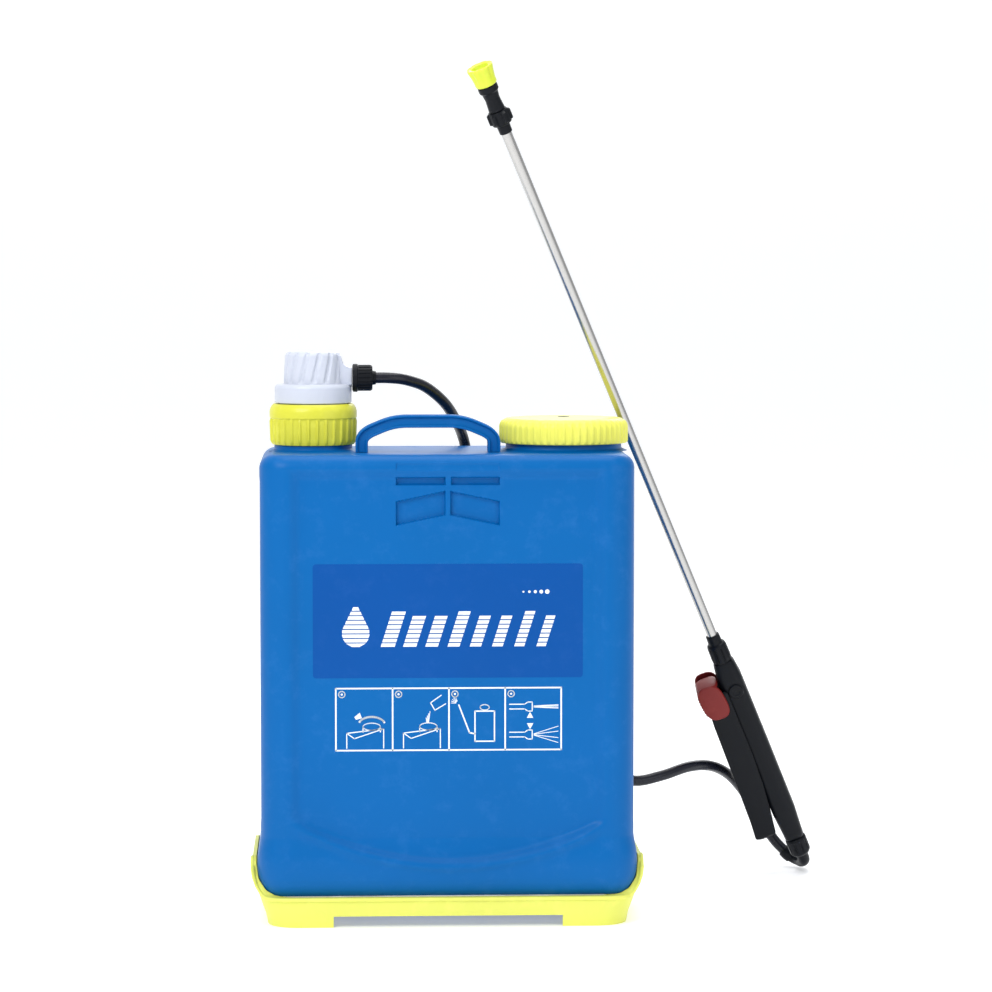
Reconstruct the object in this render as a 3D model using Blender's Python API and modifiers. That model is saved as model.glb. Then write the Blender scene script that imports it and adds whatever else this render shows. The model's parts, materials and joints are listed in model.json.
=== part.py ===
"""Backpack sprayer, 16 litre class, lever operated. Metres, +Z up, label side to -Y."""
import math

import bmesh
import bpy
from mathutils import Matrix, Vector

# ---- driving dimensions ----
GAP = 0.0003
TANK_HALF_X = 0.1735
TANK_HALF_Y = 0.088
TANK_BOTTOM = 0.0283
TANK_TOP = 0.437
TANK_WALL = 0.0035
TANK_CORNER = 0.026
SHOULDER_RADIUS = 0.0135
BULGE = 0.0035
BASE_RIM = 0.028
EAR_TOP = 0.062
PUMP_X = -0.124
FILLER_X = 0.1115
SHAFT_Y = 0.050
SHAFT_Z = 0.037
SHAFT_RADIUS = 0.005
CRANK_RADIUS = 0.050
CRANK_REST = math.radians(25)
RECESS_TOP = 0.080
LEVER_X = -0.149
HANDLE_Y = -0.035
HOSE_RADIUS = 0.00525
LANCE_FOOT = Vector((0.3631, 0.1956, 0.022))
LANCE_REST = Vector((0.1718, 0.0385, 0.463))
LANCE_RADIUS = 0.005
LANCE_TOP = 0.818
STRAP_X = 0.075

for old in list(bpy.data.objects):
    bpy.data.objects.remove(old, do_unlink=True)

parts = bpy.data.collections.new("backpack_sprayer")
cutters = bpy.data.collections.new("cutters")
bpy.context.scene.collection.children.link(parts)
bpy.context.scene.collection.children.link(cutters)

root = bpy.data.objects.new("sprayer_root", None)
parts.objects.link(root)


def material(name, colour, roughness, metallic=0.0):
    """A Principled material in one colour."""
    made = bpy.data.materials.new(name)
    made.use_nodes = True
    shader = made.node_tree.nodes["Principled BSDF"]
    shader.inputs["Base Color"].default_value = (*colour, 1)
    shader.inputs["Roughness"].default_value = roughness
    shader.inputs["Metallic"].default_value = metallic
    return made


BLUE = material("tank_blue", (0.004, 0.17, 0.55), 0.35)
YELLOW = material("moulded_yellow", (0.87, 0.82, 0.10), 0.4)
PALE_YELLOW = material("base_yellow", (0.86, 0.84, 0.16), 0.4)
LIME = material("nozzle_lime", (0.72, 0.80, 0.06), 0.35)
WHITE = material("head_white", (0.80, 0.84, 0.92), 0.35)
BLACK = material("black_plastic", (0.012, 0.013, 0.016), 0.4)
RED = material("latch_red", (0.27, 0.022, 0.018), 0.45)
RUBBER = material("black_rubber", (0.02, 0.02, 0.02), 0.7)
STEEL = material("stainless", (0.55, 0.55, 0.55), 0.25, 1.0)
FABRIC = material("strap_webbing", (0.02, 0.02, 0.025), 0.9)


def place(mesh, name, finish, at=(0, 0, 0), parent=root, group=parts, turn=None):
    """Put a mesh in the model under its parent."""
    made = bpy.data.objects.new(name, mesh)
    group.objects.link(made)
    made.parent = parent
    made.location = at
    if turn:
        made.rotation_euler = turn
    if finish:
        mesh.materials.append(finish)
    if group is cutters:
        made.hide_render = True
        made.display_type = "WIRE"
    return made


def soften(made, width, segments=2):
    """Round a piece's edges with a Bevel modifier."""
    bevel = made.modifiers.new("rounded", "BEVEL")
    bevel.width = width
    bevel.segments = segments
    bevel.limit_method = "ANGLE"
    return made


def block(name, low, high, finish, rounding=0.0, **where):
    """A box between two corners, with rounded edges."""
    mesh = bpy.data.meshes.new(name)
    bm = bmesh.new()
    bmesh.ops.create_cube(bm, size=1)
    size = Vector(high) - Vector(low)
    bmesh.ops.scale(bm, vec=size, verts=bm.verts)
    bmesh.ops.translate(bm, vec=(Vector(low) + Vector(high)) / 2, verts=bm.verts)
    bm.to_mesh(mesh)
    bm.free()
    made = place(mesh, name, finish, **where)
    if rounding:
        soften(made, rounding)
    return made


def turned(name, profile, finish, steps=24, hollow=False, **where):
    """Turn a profile of (radius, height) points, top to bottom, about Z.

    A hollow profile is a closed loop: down its outer side and up its bore."""
    mesh = bpy.data.meshes.new(name)
    points = [(radius, 0, height) for radius, height in profile]
    edges = [(i, i + 1) for i in range(len(points) - 1)]
    if hollow:
        edges.append((len(points) - 1, 0))
    mesh.from_pydata(points, edges, [])
    made = place(mesh, name, finish, **where)
    screw = made.modifiers.new("turned", "SCREW")
    screw.steps = steps
    screw.render_steps = steps
    screw.use_merge_vertices = True
    screw.merge_threshold = 0.00001
    return made


def ring(name, outer, inner, low, high, finish, **where):
    """A plain tube or washer."""
    return turned(name, [(outer, high), (outer, low), (inner, low), (inner, high)], finish,
                  hollow=True, **where)


def rod(name, radius, low, high, finish, **where):
    """A plain solid round bar along its own Z."""
    return turned(name, [(0, high), (radius, high), (radius, low), (0, low)], finish, **where)


def outline(half_x, half_y, corner, height, arc_steps=5):
    """A rounded rectangle at one height, anticlockwise."""
    points = []
    for quarter, (sx, sy) in enumerate([(1, 1), (-1, 1), (-1, -1), (1, -1)]):
        for step in range(arc_steps + 1):
            angle = math.pi / 2 * (quarter + step / arc_steps)
            points.append((sx * (half_x - corner) + corner * math.cos(angle),
                           sy * (half_y - corner) + corner * math.sin(angle), height))
    return points


def loft(name, rings, finish, **where):
    """Skin a stack of like rings, capped at both ends."""
    mesh = bpy.data.meshes.new(name)
    bm = bmesh.new()
    rows = [[bm.verts.new(point) for point in points] for points in rings]
    count = len(rows[0])
    for lower, upper in zip(rows, rows[1:]):
        for i in range(count):
            j = (i + 1) % count
            bm.faces.new((lower[i], lower[j], upper[j], upper[i]))
    bm.faces.new(rows[-1])
    bm.faces.new(list(reversed(rows[0])))
    bmesh.ops.recalc_face_normals(bm, faces=bm.faces)
    bm.to_mesh(mesh)
    bm.free()
    return place(mesh, name, finish, **where)


def bar(name, path, half_width, half_thickness, finish, **where):
    """Carry a flat section, wide along X, along a path of (y, z) points."""
    rings = []
    for i, (y, z) in enumerate(path):
        before = Vector(path[max(i - 1, 0)])
        after = Vector(path[min(i + 1, len(path) - 1)])
        along = (after - before).normalized()
        ny, nz = -along.y * half_thickness, along.x * half_thickness
        rings.append([(-half_width, y - ny, z - nz), (half_width, y - ny, z - nz),
                      (half_width, y + ny, z + nz), (-half_width, y + ny, z + nz)])
    return loft(name, rings, finish, **where)


def wire(name, points, radius, finish, parent=root, resolution=3):
    """A round bar along points, made a closed mesh."""
    curve = bpy.data.curves.new(name, "CURVE")
    curve.dimensions = "3D"
    curve.bevel_depth = radius
    curve.bevel_resolution = resolution
    curve.use_fill_caps = True
    spline = curve.splines.new("POLY")
    spline.points.add(len(points) - 1)
    for point, (x, y, z) in zip(spline.points, points):
        point.co = (x, y, z, 1)
    guide = bpy.data.objects.new(name + "_guide", curve)
    parts.objects.link(guide)
    bpy.context.view_layer.update()
    graph = bpy.context.evaluated_depsgraph_get()
    mesh = bpy.data.meshes.new_from_object(guide.evaluated_get(graph))
    bm = bmesh.new()
    bm.from_mesh(mesh)
    bmesh.ops.remove_doubles(bm, verts=bm.verts, dist=0.00001)
    bm.to_mesh(mesh)
    bm.free()
    bpy.data.objects.remove(guide, do_unlink=True)
    mesh.materials.clear()
    return place(mesh, name, finish, parent=parent)


def smooth_route(knots, steps):
    """Points on a smooth curve through the knots."""
    ends = [knots[0] * 2 - knots[1]] + knots + [knots[-1] * 2 - knots[-2]]
    points = []
    for a, b, c, d in zip(ends, ends[1:], ends[2:], ends[3:]):
        for step in range(steps):
            t = step / steps
            points.append(((b * 2) + (c - a) * t + (a * 2 - b * 5 + c * 4 - d) * t ** 2
                           + (b * 3 - a - c * 3 + d) * t ** 3) / 2)
    points.append(knots[-1])
    return points


def combine(made, tool, operation="DIFFERENCE"):
    """Cut a piece with a tool, or join the tool to it."""
    change = made.modifiers.new(tool.name, "BOOLEAN")
    change.operation = operation
    change.solver = "EXACT"
    change.object = tool
    return made


CUT = {"group": cutters}
ALONG_X = (0, math.pi / 2, 0)

# ---- tank: one blow-moulded shell with two necks and a recess for the drive ----


def tank_rings(outset, bottom, top):
    """Rings of the tank wall: it curves out above the base and rounds in at the shoulder."""
    heights = [(bottom, -0.006), (0.034, -0.0015), (0.044, BULGE * 0.7), (0.056, BULGE),
               (0.068, BULGE * 0.8), (0.082, 0.0)]
    start = TANK_TOP - SHOULDER_RADIUS
    for step in range(5):
        angle = math.pi / 2 * step / 4
        inward = SHOULDER_RADIUS * (math.cos(angle) - 1)
        heights.append((start + (top - start) * math.sin(angle), inward))
    return [outline(TANK_HALF_X + side + outset, TANK_HALF_Y + side + outset,
                    TANK_CORNER + side + outset, height) for height, side in heights]


tank = loft("tank", tank_rings(0, TANK_BOTTOM, TANK_TOP), BLUE)
pump_neck = turned("pump_neck", [(0, 0.4725), (0.0355, 0.4725), (0.0355, 0.430), (0, 0.430)], None,
                   steps=48, at=(PUMP_X, 0, 0), **CUT)
filler_neck = turned("filler_neck", [(0, 0.4580), (0.0542, 0.4580), (0.0542, 0.430), (0, 0.430)],
                     None, steps=56, at=(FILLER_X, 0, 0), **CUT)
inside = loft("tank_inside", tank_rings(-TANK_WALL, 0.0325, TANK_TOP - TANK_WALL), None, **CUT)
drive_recess = block("drive_recess", (-0.168, -0.028, 0.020), (-0.098, 0.110, RECESS_TOP), None, **CUT)
shaft_channel = block("shaft_channel", (-0.20, 0.041, 0.020), (0.20, 0.059, 0.047), None, **CUT)
recess_wall = block("recess_wall", (-0.1715, -0.0315, 0.010), (-0.0945, 0.120, RECESS_TOP + TANK_WALL),
                    None, **CUT)
channel_wall = block("channel_wall", (-0.21, 0.0375, 0.010), (0.21, 0.0625, 0.0505), None, **CUT)
combine(combine(inside, recess_wall), channel_wall)
pump_bore = rod("pump_bore", 0.0295, 0.4200, 0.500, None, steps=40, at=(PUMP_X, 0, 0), **CUT)
filler_bore = rod("filler_bore", 0.0475, 0.4200, 0.500, None, steps=40, at=(FILLER_X, 0, 0), **CUT)
gland_hole = rod("gland_hole", 0.0065, 0.0750, 0.090, None, steps=20, at=(PUMP_X, 0, 0), **CUT)
combine(tank, pump_neck, "UNION")
combine(tank, filler_neck, "UNION")
for tool in (inside, drive_recess, shaft_channel, pump_bore, filler_bore, gland_hole):
    combine(tank, tool)

# ---- base: a moulded skirt with ears that carry the shaft, and arches between its feet ----
outer = [(0.0, 0.167, 0.088), (0.010, 0.169, 0.0895), (0.028, 0.1752, 0.0925), (0.040, 0.1795, 0.096),
         (0.052, 0.1812, 0.0965), (0.066, 0.1812, 0.0965)]
base = loft("base", [outline(x, y, 0.028, z) for z, x, y in outer], PALE_YELLOW)
lower_well = [(-0.004, 0.1625, 0.0835), (BASE_RIM + 0.0001, 0.1655, 0.0855)]
upper_well = [(BASE_RIM, -0.0045), (0.034, -0.0002), (0.044, 0.0035), (0.056, 0.0042), (0.070, 0.0042)]
combine(base, loft("base_lower_well", [outline(x, y, 0.025, z) for z, x, y in lower_well], None, **CUT))
combine(base, loft("base_upper_well", [outline(TANK_HALF_X + side, TANK_HALF_Y + side, TANK_CORNER + side, z)
                                       for z, side in upper_well], None, **CUT))
rim = [(-0.11, BASE_RIM), (-0.084, BASE_RIM)]
for step in range(1, 8):
    y = -0.084 + 0.030 * step / 8
    rim.append((y, BASE_RIM + (EAR_TOP - BASE_RIM) * (1 - math.cos(math.pi * step / 8)) / 2))
rim.append((-0.054, EAR_TOP))
saddle = list(rim)
# the ears are level across their middle and fall the same way behind
saddle += [(0.066, EAR_TOP)] + [(0.066 + 0.022 * step / 6,
                                 BASE_RIM + (EAR_TOP - BASE_RIM) * (1 + math.cos(math.pi * step / 6)) / 2)
                                for step in range(1, 7)]
saddle.append((0.12, BASE_RIM))
saddle_loop = saddle + [(0.12, 0.10), (-0.11, 0.10)]
combine(base, loft("rim_cutter", [[(x, y, z) for y, z in saddle_loop] for x in (-0.2, 0.2)], None, **CUT))
combine(base, block("front_arch", (-0.106, -0.12, -0.01), (0.106, 0.12, 0.0105), None, **CUT))
combine(base, block("side_arch", (-0.2, -0.045, -0.01), (0.2, 0.045, 0.006), None, **CUT))
combine(base, block("lever_slot", (-0.161, 0.070, 0.012), (-0.137, 0.12, 0.10), None, **CUT))
combine(base, rod("shaft_hole", 0.0085, -0.2, 0.2, None, at=(0, SHAFT_Y, SHAFT_Z), turn=ALONG_X, **CUT))

# ---- drive: lever, cross shaft and crank ----
shaft_line = {"at": (0, SHAFT_Y, SHAFT_Z), "turn": ALONG_X}
lever_axis = bpy.data.objects.new("lever_axis", None)
parts.objects.link(lever_axis)
lever_axis.parent = root
lever_axis.location = (0, SHAFT_Y, SHAFT_Z)
rod("cross_shaft", SHAFT_RADIUS, -0.1815, 0.1815, STEEL, parent=lever_axis, turn=ALONG_X)
for side, name in ((-1, "shaft_bush_left"), (1, "shaft_bush_right")):
    low, high = sorted((side * 0.1700, side * 0.1812))
    ring(name, 0.0082, SHAFT_RADIUS + GAP, low, high, BLACK, **shaft_line)
turned("shaft_cap", [(0, 0.1890), (0.006, 0.1890), (0.0090, 0.1865), (0.0095, 0.1818), (0, 0.1818)],
       BLACK, steps=28, parent=lever_axis, turn=ALONG_X)
rod("shaft_clip", 0.0085, -0.1830, -0.1818, STEEL, parent=lever_axis, turn=ALONG_X)


def crank_outline(radius_big, radius_small, length, angle, x):
    """A plate outline round two bosses, in the YZ plane."""
    points = []
    spread = math.acos((radius_big - radius_small) / length)
    for centre, radius, start, stop in ((0, radius_big, spread, 2 * math.pi - spread),
                                        (length, radius_small, -spread, spread)):
        for step in range(11):
            turn = start + (stop - start) * step / 10
            along, across = centre + radius * math.cos(turn), radius * math.sin(turn)
            points.append((x, along * math.cos(angle) - across * math.sin(angle),
                           along * math.sin(angle) + across * math.cos(angle)))
    return points


crank_angle = math.pi - CRANK_REST
crank = loft("crank_arm", [crank_outline(0.011, 0.0085, CRANK_RADIUS, crank_angle, x)
                           for x in (-0.117, -0.108)], STEEL, parent=lever_axis)
combine(crank, rod("crank_bore", SHAFT_RADIUS + GAP, -0.2, 0.0, None, at=(0, 0, 0), parent=lever_axis,
                   turn=ALONG_X, **CUT))
pin_at = (0, -CRANK_RADIUS * math.cos(CRANK_REST), CRANK_RADIUS * math.sin(CRANK_REST))
combine(crank, rod("crank_pin_bore", 0.0043, -0.2, 0.0, None, at=pin_at, parent=lever_axis,
                   turn=ALONG_X, **CUT))
rod("crank_pin", 0.004, -0.131, -0.108, STEEL, at=pin_at, parent=lever_axis, turn=ALONG_X)

arm_path = smooth_route([Vector((LEVER_X, y, z)) for y, z in
                         ((0.008, -0.0014), (0.060, -0.0106), (0.078, -0.0100), (0.095, 0.0020),
                          (0.150, 0.048), (0.240, 0.1235))], 4)
lever = wire("lever_arm", arm_path, 0.0065, STEEL, parent=lever_axis)
hub = rod("lever_hub", 0.012, -0.155, -0.143, None, parent=lever_axis, turn=ALONG_X, **CUT)
combine(lever, hub, "UNION")
combine(lever, rod("lever_bore", SHAFT_RADIUS + GAP, -0.2, 0.0, None, parent=lever_axis,
                   turn=ALONG_X, **CUT))
arm_slope = math.atan2(0.240 - 0.150, 0.1235 - 0.048)
turned("lever_grip", [(0, 0.018), (0.010, 0.018), (0.0135, 0.012), (0.0125, -0.020), (0.0135, -0.075),
                      (0.0120, -0.082), (0.0072, -0.082), (0.0072, 0.004), (0, 0.004)], BLACK,
       at=(LEVER_X, 0.240, 0.1235), parent=lever_axis, turn=(-arm_slope, 0, 0))

# ---- pump: rod, piston, cylinder, valve, air chamber, head ----
pump_line = {"at": (PUMP_X, 0, 0)}
pin_height = SHAFT_Z + CRANK_RADIUS * math.sin(CRANK_REST)
yoke = block("piston_rod", (-0.0045, -0.0125, pin_height - 0.0088), (0.0045, 0.0170, pin_height + 0.0088),
             STEEL, **pump_line)
combine(yoke, rod("rod_stem", 0.004, pin_height + 0.006, 0.1530, None, **pump_line, **CUT), "UNION")
combine(yoke, block("yoke_slot", (-0.02, -0.0062, pin_height - 0.0046), (0.02, 0.0110, pin_height + 0.0046),
                    None, **pump_line, **CUT))
turned("gland_seal", [(0.010, 0.0868), (0.010, 0.0838), (0.0062, 0.0838), (0.0062, 0.0795),
                      (0.0044, 0.0795), (0.0044, 0.0868)], RUBBER, hollow=True, **pump_line)
ring("pump_cylinder", 0.0225, 0.0202, 0.0990, 0.2400, WHITE, **pump_line)
turned("piston", [(0, 0.1760), (0.012, 0.1760), (0.0190, 0.1700), (0.0190, 0.1655), (0.0150, 0.1655),
                  (0.0150, 0.1605), (0.0190, 0.1605), (0.0190, 0.1533), (0, 0.1533)], BLACK, **pump_line)
ring("piston_seal", 0.0199, 0.0153, 0.1608, 0.1652, RUBBER, **pump_line)
turned("valve_seat", [(0.0260, 0.2480), (0.0260, 0.2403), (0.0060, 0.2403), (0.0060, 0.2440),
                      (0.0082, 0.2480)], BLACK, hollow=True, **pump_line)
ball_mesh = bpy.data.meshes.new("valve_ball")
ball = bmesh.new()
bmesh.ops.create_uvsphere(ball, u_segments=16, v_segments=10, radius=0.0078)
ball.to_mesh(ball_mesh)
ball.free()
place(ball_mesh, "valve_ball", STEEL, at=(PUMP_X, 0, 0.2530))
ring("air_chamber", 0.0265, 0.0245, 0.2483, 0.4748, WHITE, **pump_line)
ring("head_gasket", 0.0352, 0.0295, 0.4728, 0.4748, RUBBER, **pump_line)
head = turned("pump_head", [(0, 0.5300), (0.0190, 0.5300), (0.0228, 0.5285), (0.0243, 0.5240),
                            (0.0252, 0.5140), (0.0268, 0.4985), (0.0330, 0.4975), (0.0360, 0.4960),
                            (0.0360, 0.4845), (0.0350, 0.4835), (0.0320, 0.4835), (0.0320, 0.4780),
                            (0.0355, 0.4780), (0.0355, 0.4751), (0.0225, 0.4751), (0.0225, 0.5150),
                            (0.0150, 0.5230), (0, 0.5250)], WHITE, steps=32, **pump_line)
spout = rod("spout", 0.0090, 0.0235, 0.0364, None, at=(PUMP_X, 0, 0.505), turn=ALONG_X, **CUT)
combine(head, spout, "UNION")
combine(head, rod("spout_bore", 0.0042, 0.010, 0.060, None, at=(PUMP_X, 0, 0.505), turn=ALONG_X, **CUT))
turned("pump_ring_nut", [(0.0375, 0.4810), (0.0395, 0.4785), (0.0410, 0.4700), (0.0402, 0.4430),
                         (0.0363, 0.4430), (0.0363, 0.4783), (0.0335, 0.4783), (0.0335, 0.4810)],
       YELLOW, steps=36, hollow=True, **pump_line)
turned("outlet_nut", [(0.0100, 0.0558), (0.0122, 0.0545), (0.0122, 0.0425), (0.0132, 0.0415),
                      (0.0132, 0.0380), (0.0110, 0.0367), (0.0045, 0.0367), (0.0045, 0.0558)], BLACK,
       steps=24, hollow=True, at=(PUMP_X, 0, 0.505), turn=ALONG_X)

# ---- filler: strainer, seal, lid and its vent ----
filler_line = {"at": (FILLER_X, 0, 0)}
turned("strainer_basket", [(0.0525, 0.4600), (0.0525, 0.4583), (0.0465, 0.4583), (0.0440, 0.3600),
                           (0, 0.3600), (0, 0.3616), (0.0425, 0.3616), (0.0449, 0.4600)],
       BLACK, steps=32, **filler_line)
strainer = parts.objects["strainer_basket"]
strainer.data.edges.add(1)
strainer.data.edges[-1].vertices = (7, 0)
ring("lid_seal", 0.0540, 0.0460, 0.4603, 0.4630, RUBBER, **filler_line)
turned("filler_lid", [(0.0040, 0.4692), (0.0560, 0.4685), (0.0595, 0.4665), (0.0611, 0.4635),
                            (0.0606, 0.4462), (0.0560, 0.4462), (0.0560, 0.4633), (0.0040, 0.4633)],
             YELLOW, steps=40, hollow=True, **filler_line)
turned("lid_vent", [(0, 0.4712), (0.0060, 0.4710), (0.0070, 0.4696), (0.0036, 0.4696), (0.0036, 0.4600),
                    (0, 0.4600)], BLACK, steps=20, **filler_line)

# ---- carry handle: a moulded bail on the tank's top ----
bail = [(-0.079, TANK_TOP + GAP), (-0.079, 0.4505), (-0.0755, 0.4570), (-0.050, 0.4662),
        (0.0165, 0.4662), (0.041, 0.4570), (0.0445, 0.4505), (0.0445, TANK_TOP + GAP)]
bar("carry_handle", bail, 0.011, 0.0058, BLUE, at=(0, HANDLE_Y, 0), turn=(0, 0, -math.pi / 2))

# ---- lance: handle, tube and nozzle, built along its own Z and leaned on the lid ----
lance_direction = (LANCE_REST - LANCE_FOOT).normalized()
across = (Vector((1, 0, 0)) - lance_direction * lance_direction.x).normalized()
behind = lance_direction.cross(across)
lance = bpy.data.objects.new("lance_line", None)
parts.objects.link(lance)
lance.parent = root
lance_turn = Matrix((across, behind, lance_direction)).transposed().to_4x4()
lance.matrix_local = Matrix.Translation(LANCE_FOOT) @ lance_turn
HELD = {"parent": lance}

turned("hose_nut", [(0.0095, 0.0172), (0.0105, 0.0160), (0.0105, -0.0020), (0.0095, -0.0030),
                    (0.0066, -0.0030), (0.0066, 0.0172)], BLACK, steps=24, hollow=True, **HELD)
body = loft("wand_body", [outline(x, y, 0.0065, z) for z, x, y in
                          ((0.0176, 0.0098, 0.0098), (0.050, 0.0118, 0.0105), (0.130, 0.0122, 0.0110),
                           (0.200, 0.0122, 0.0110), (0.2300, 0.0098, 0.0098))], BLACK, **HELD)
combine(body, block("trigger_lug", (-0.0245, -0.0040, 0.1915), (-0.0100, 0.0040, 0.2075), None,
                    **HELD, **CUT), "UNION")
combine(body, rod("wand_bore", 0.0062, -0.01, 0.30, None, **HELD, **CUT))
combine(body, rod("pin_hole", 0.0023, -0.03, 0.03, None, at=(-0.0180, 0, 0.1990),
                  turn=(math.pi / 2, 0, 0), **HELD, **CUT))
turned("gland_nut", [(0.0066, 0.2600), (0.0072, 0.2590), (0.0072, 0.2500), (0.0095, 0.2480),
                     (0.0095, 0.2303), (0.0053, 0.2303), (0.0053, 0.2600)], BLACK, steps=24,
       hollow=True, **HELD)
ring("lance_tube", LANCE_RADIUS, 0.0040, 0.2325, LANCE_TOP, STEEL, **HELD)
TRIGGER_SECTIONS = ((0.0330, -0.0368, -0.0150), (0.0550, -0.0349, -0.0122), (0.0900, -0.0338, -0.0085),
                    (0.1300, -0.0328, -0.0065), (0.1700, -0.0318, -0.0065), (0.2000, -0.0300, -0.0065),
                    (0.2130, -0.0295, -0.0090))
CROWN_START, CROWN_EDGE = 0.2093, -0.0137
TRIGGER_HALF = 0.0138
TRIGGER_WEB = 0.0040
trigger = loft("trigger_lever", [[(low, -TRIGGER_HALF, z), (high, -TRIGGER_HALF, z),
                                  (high, TRIGGER_HALF, z), (low, TRIGGER_HALF, z)]
                                 for z, low, high in TRIGGER_SECTIONS], BLACK, **HELD)
CHANNEL_HALF = 0.0118
# the channel is open at the foot and closed by a crown above the pin
channel = [(z, low + TRIGGER_WEB) for z, low, high in TRIGGER_SECTIONS[:-1]]
channel = ([(0.0, channel[0][1])] + channel + [(CROWN_START, channel[-1][1]), (CROWN_START + GAP, CROWN_EDGE),
                                               (0.25, CROWN_EDGE)])
combine(trigger, loft("trigger_channel", [[(low, -CHANNEL_HALF, z), (0.01, -CHANNEL_HALF, z),
                                           (0.01, CHANNEL_HALF, z), (low, CHANNEL_HALF, z)]
                                          for z, low in channel], None, **HELD, **CUT))
pin_across = {"at": (-0.0180, 0, 0.1990), "turn": (math.pi / 2, 0, 0)}
combine(trigger, rod("lever_pin_hole", 0.0023, -0.03, 0.03, None, **pin_across, **HELD, **CUT))
rod("trigger_pin", 0.0020, -0.0140, 0.0140, STEEL, **pin_across, **HELD)
latch = block("trigger_latch", (-0.0355, -0.0178, 0.1745), (-0.0100, 0.0178, 0.2155), RED, **HELD)
combine(latch, block("latch_slot", (-0.0325, -0.0145, 0.10), (0.0, 0.0145, 0.25), None, **HELD, **CUT))
rod("valve_pin", 0.0022, 0.0900, 0.2200, STEEL, **HELD)
ring("handle_filter", 0.0055, 0.0045, 0.0200, 0.0750, WHITE, **HELD)
spring_path = [Vector((0.0045 * math.cos(turn), 0.0045 * math.sin(turn), 0.130 + 0.0045 * turn / math.tau))
               for turn in (math.tau * i / 10 for i in range(61))]
wire("valve_spring", spring_path, 0.0006, STEEL, parent=lance, resolution=1)

turned("nozzle_nut", [(0.0100, 0.8380), (0.0115, 0.8365), (0.0115, 0.8255), (0.0095, 0.8240),
                                   (0.0064, 0.8235), (0.0062, 0.8150), (0.0053, 0.8150),
                                   (0.0053, 0.8183), (0.0030, 0.8183), (0.0030, 0.8380)], BLACK,
                    steps=24, hollow=True, **HELD)
turned("nozzle_body", [(0.0090, 0.8640), (0.0095, 0.8630), (0.0095, 0.8585), (0.0080, 0.8570),
                       (0.0070, 0.8500), (0.0080, 0.8383), (0.0030, 0.8383), (0.0030, 0.8540),
                       (0.0050, 0.8540), (0.0050, 0.8640)], BLACK, steps=24, hollow=True, **HELD)
ring("swirl_core", 0.0047, 0.0012, 0.8543, 0.8637, BLACK, **HELD)
turned("nozzle_cap", [(0.0080, 0.8830), (0.0125, 0.8830), (0.0112, 0.8740), (0.0104, 0.8643),
                      (0.0070, 0.8643), (0.0070, 0.8760), (0.0012, 0.8760), (0.0012, 0.8785)], LIME,
       steps=24, hollow=True, **HELD)

# ---- hose: from the pump's outlet over the tank's back to the lance's foot ----
elbow_path = smooth_route([LANCE_FOOT + lance_direction * -0.0034, Vector((0.3674, 0.2020, 0.0122)),
                           Vector((0.3668, 0.2125, 0.0084)), Vector((0.3646, 0.2205, 0.0082)),
                           Vector((0.3602, 0.2252, 0.0098)), Vector((0.3560, 0.2262, 0.0122))], 3)
wire("hose_elbow", elbow_path, 0.0062, BLACK)
HOSE_ROUTE = [Vector(point) for point in (
    (-0.0678, 0.000, 0.5050), (-0.0520, 0.001, 0.5048), (-0.0360, 0.008, 0.5025), (-0.0180, 0.024, 0.4955),
    (0.0002, 0.046, 0.4800), (0.0120, 0.070, 0.4620), (0.0200, 0.092, 0.4440), (0.0250, 0.1015, 0.4200),
    (0.0290, 0.1000, 0.3900), (0.0370, 0.0985, 0.3400), (0.0560, 0.0980, 0.2700), (0.0850, 0.0980, 0.2050),
    (0.1200, 0.0985, 0.1550), (0.1550, 0.1000, 0.1210), (0.1860, 0.1050, 0.1070), (0.2150, 0.1150, 0.1100),
    (0.2430, 0.1330, 0.1160), (0.2660, 0.1560, 0.1140), (0.2850, 0.1810, 0.1040), (0.3010, 0.2020, 0.0880),
    (0.3150, 0.2170, 0.0680), (0.3280, 0.2265, 0.0460), (0.3410, 0.2290, 0.0270), (0.3538, 0.2266, 0.0136))]
wire("hose", smooth_route(HOSE_ROUTE, 2), HOSE_RADIUS, BLACK, resolution=2)

# ---- straps on the wearer's side ----
for side, word in ((-1, "left"), (1, "right")):
    spot = {"at": (side * STRAP_X, 0, 0)}
    block("strap_anchor_" + word, (-0.018, TANK_HALF_Y + GAP, 0.4035), (0.018, 0.1120, 0.4190), BLACK,
          0.002, **spot)
    pad_path = [(0.104 + 0.050 * math.sin(math.pi * i / 12), 0.400 - 0.23 * i / 12) for i in range(13)]
    bar("strap_pad_" + word, pad_path, 0.021, 0.005, FABRIC, **spot)
    block("strap_buckle_" + word, (-0.017, 0.0980, 0.1500), (0.017, 0.1100, 0.1660), BLACK, 0.002, **spot)
    bar("strap_web_" + word, [(0.103, 0.1494), (0.106, 0.11), (0.103, 0.065), (0.0985, 0.0250)],
        0.0125, 0.0013, FABRIC, **spot)
    block("strap_hook_" + word, (-0.016, 0.0935, 0.0060), (0.016, 0.1040, 0.0243), BLACK, 0.002, **spot)

# ---- stand the model's box, without its hose, over the origin ----
bpy.context.view_layer.update()
graph = bpy.context.evaluated_depsgraph_get()
corners = [made.evaluated_get(graph).matrix_world @ Vector(corner) for made in parts.objects
           if made.type == "MESH" and made.name not in ("hose",)
           for corner in ([vertex.co for vertex in made.evaluated_get(graph).to_mesh().vertices])]
low_x, high_x = min(c.x for c in corners), max(c.x for c in corners)
low_y, high_y = min(c.y for c in corners), max(c.y for c in corners)
root.location = (-(low_x + high_x) / 2, -(low_y + high_y) / 2, -min(c.z for c in corners))

for made in parts.objects:
    if made.type == "MESH" and made.name not in ("carry_handle",):
        made.data.shade_smooth()
        made.data.set_sharp_from_angle(angle=math.radians(35))
bpy.context.view_layer.update()
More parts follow.
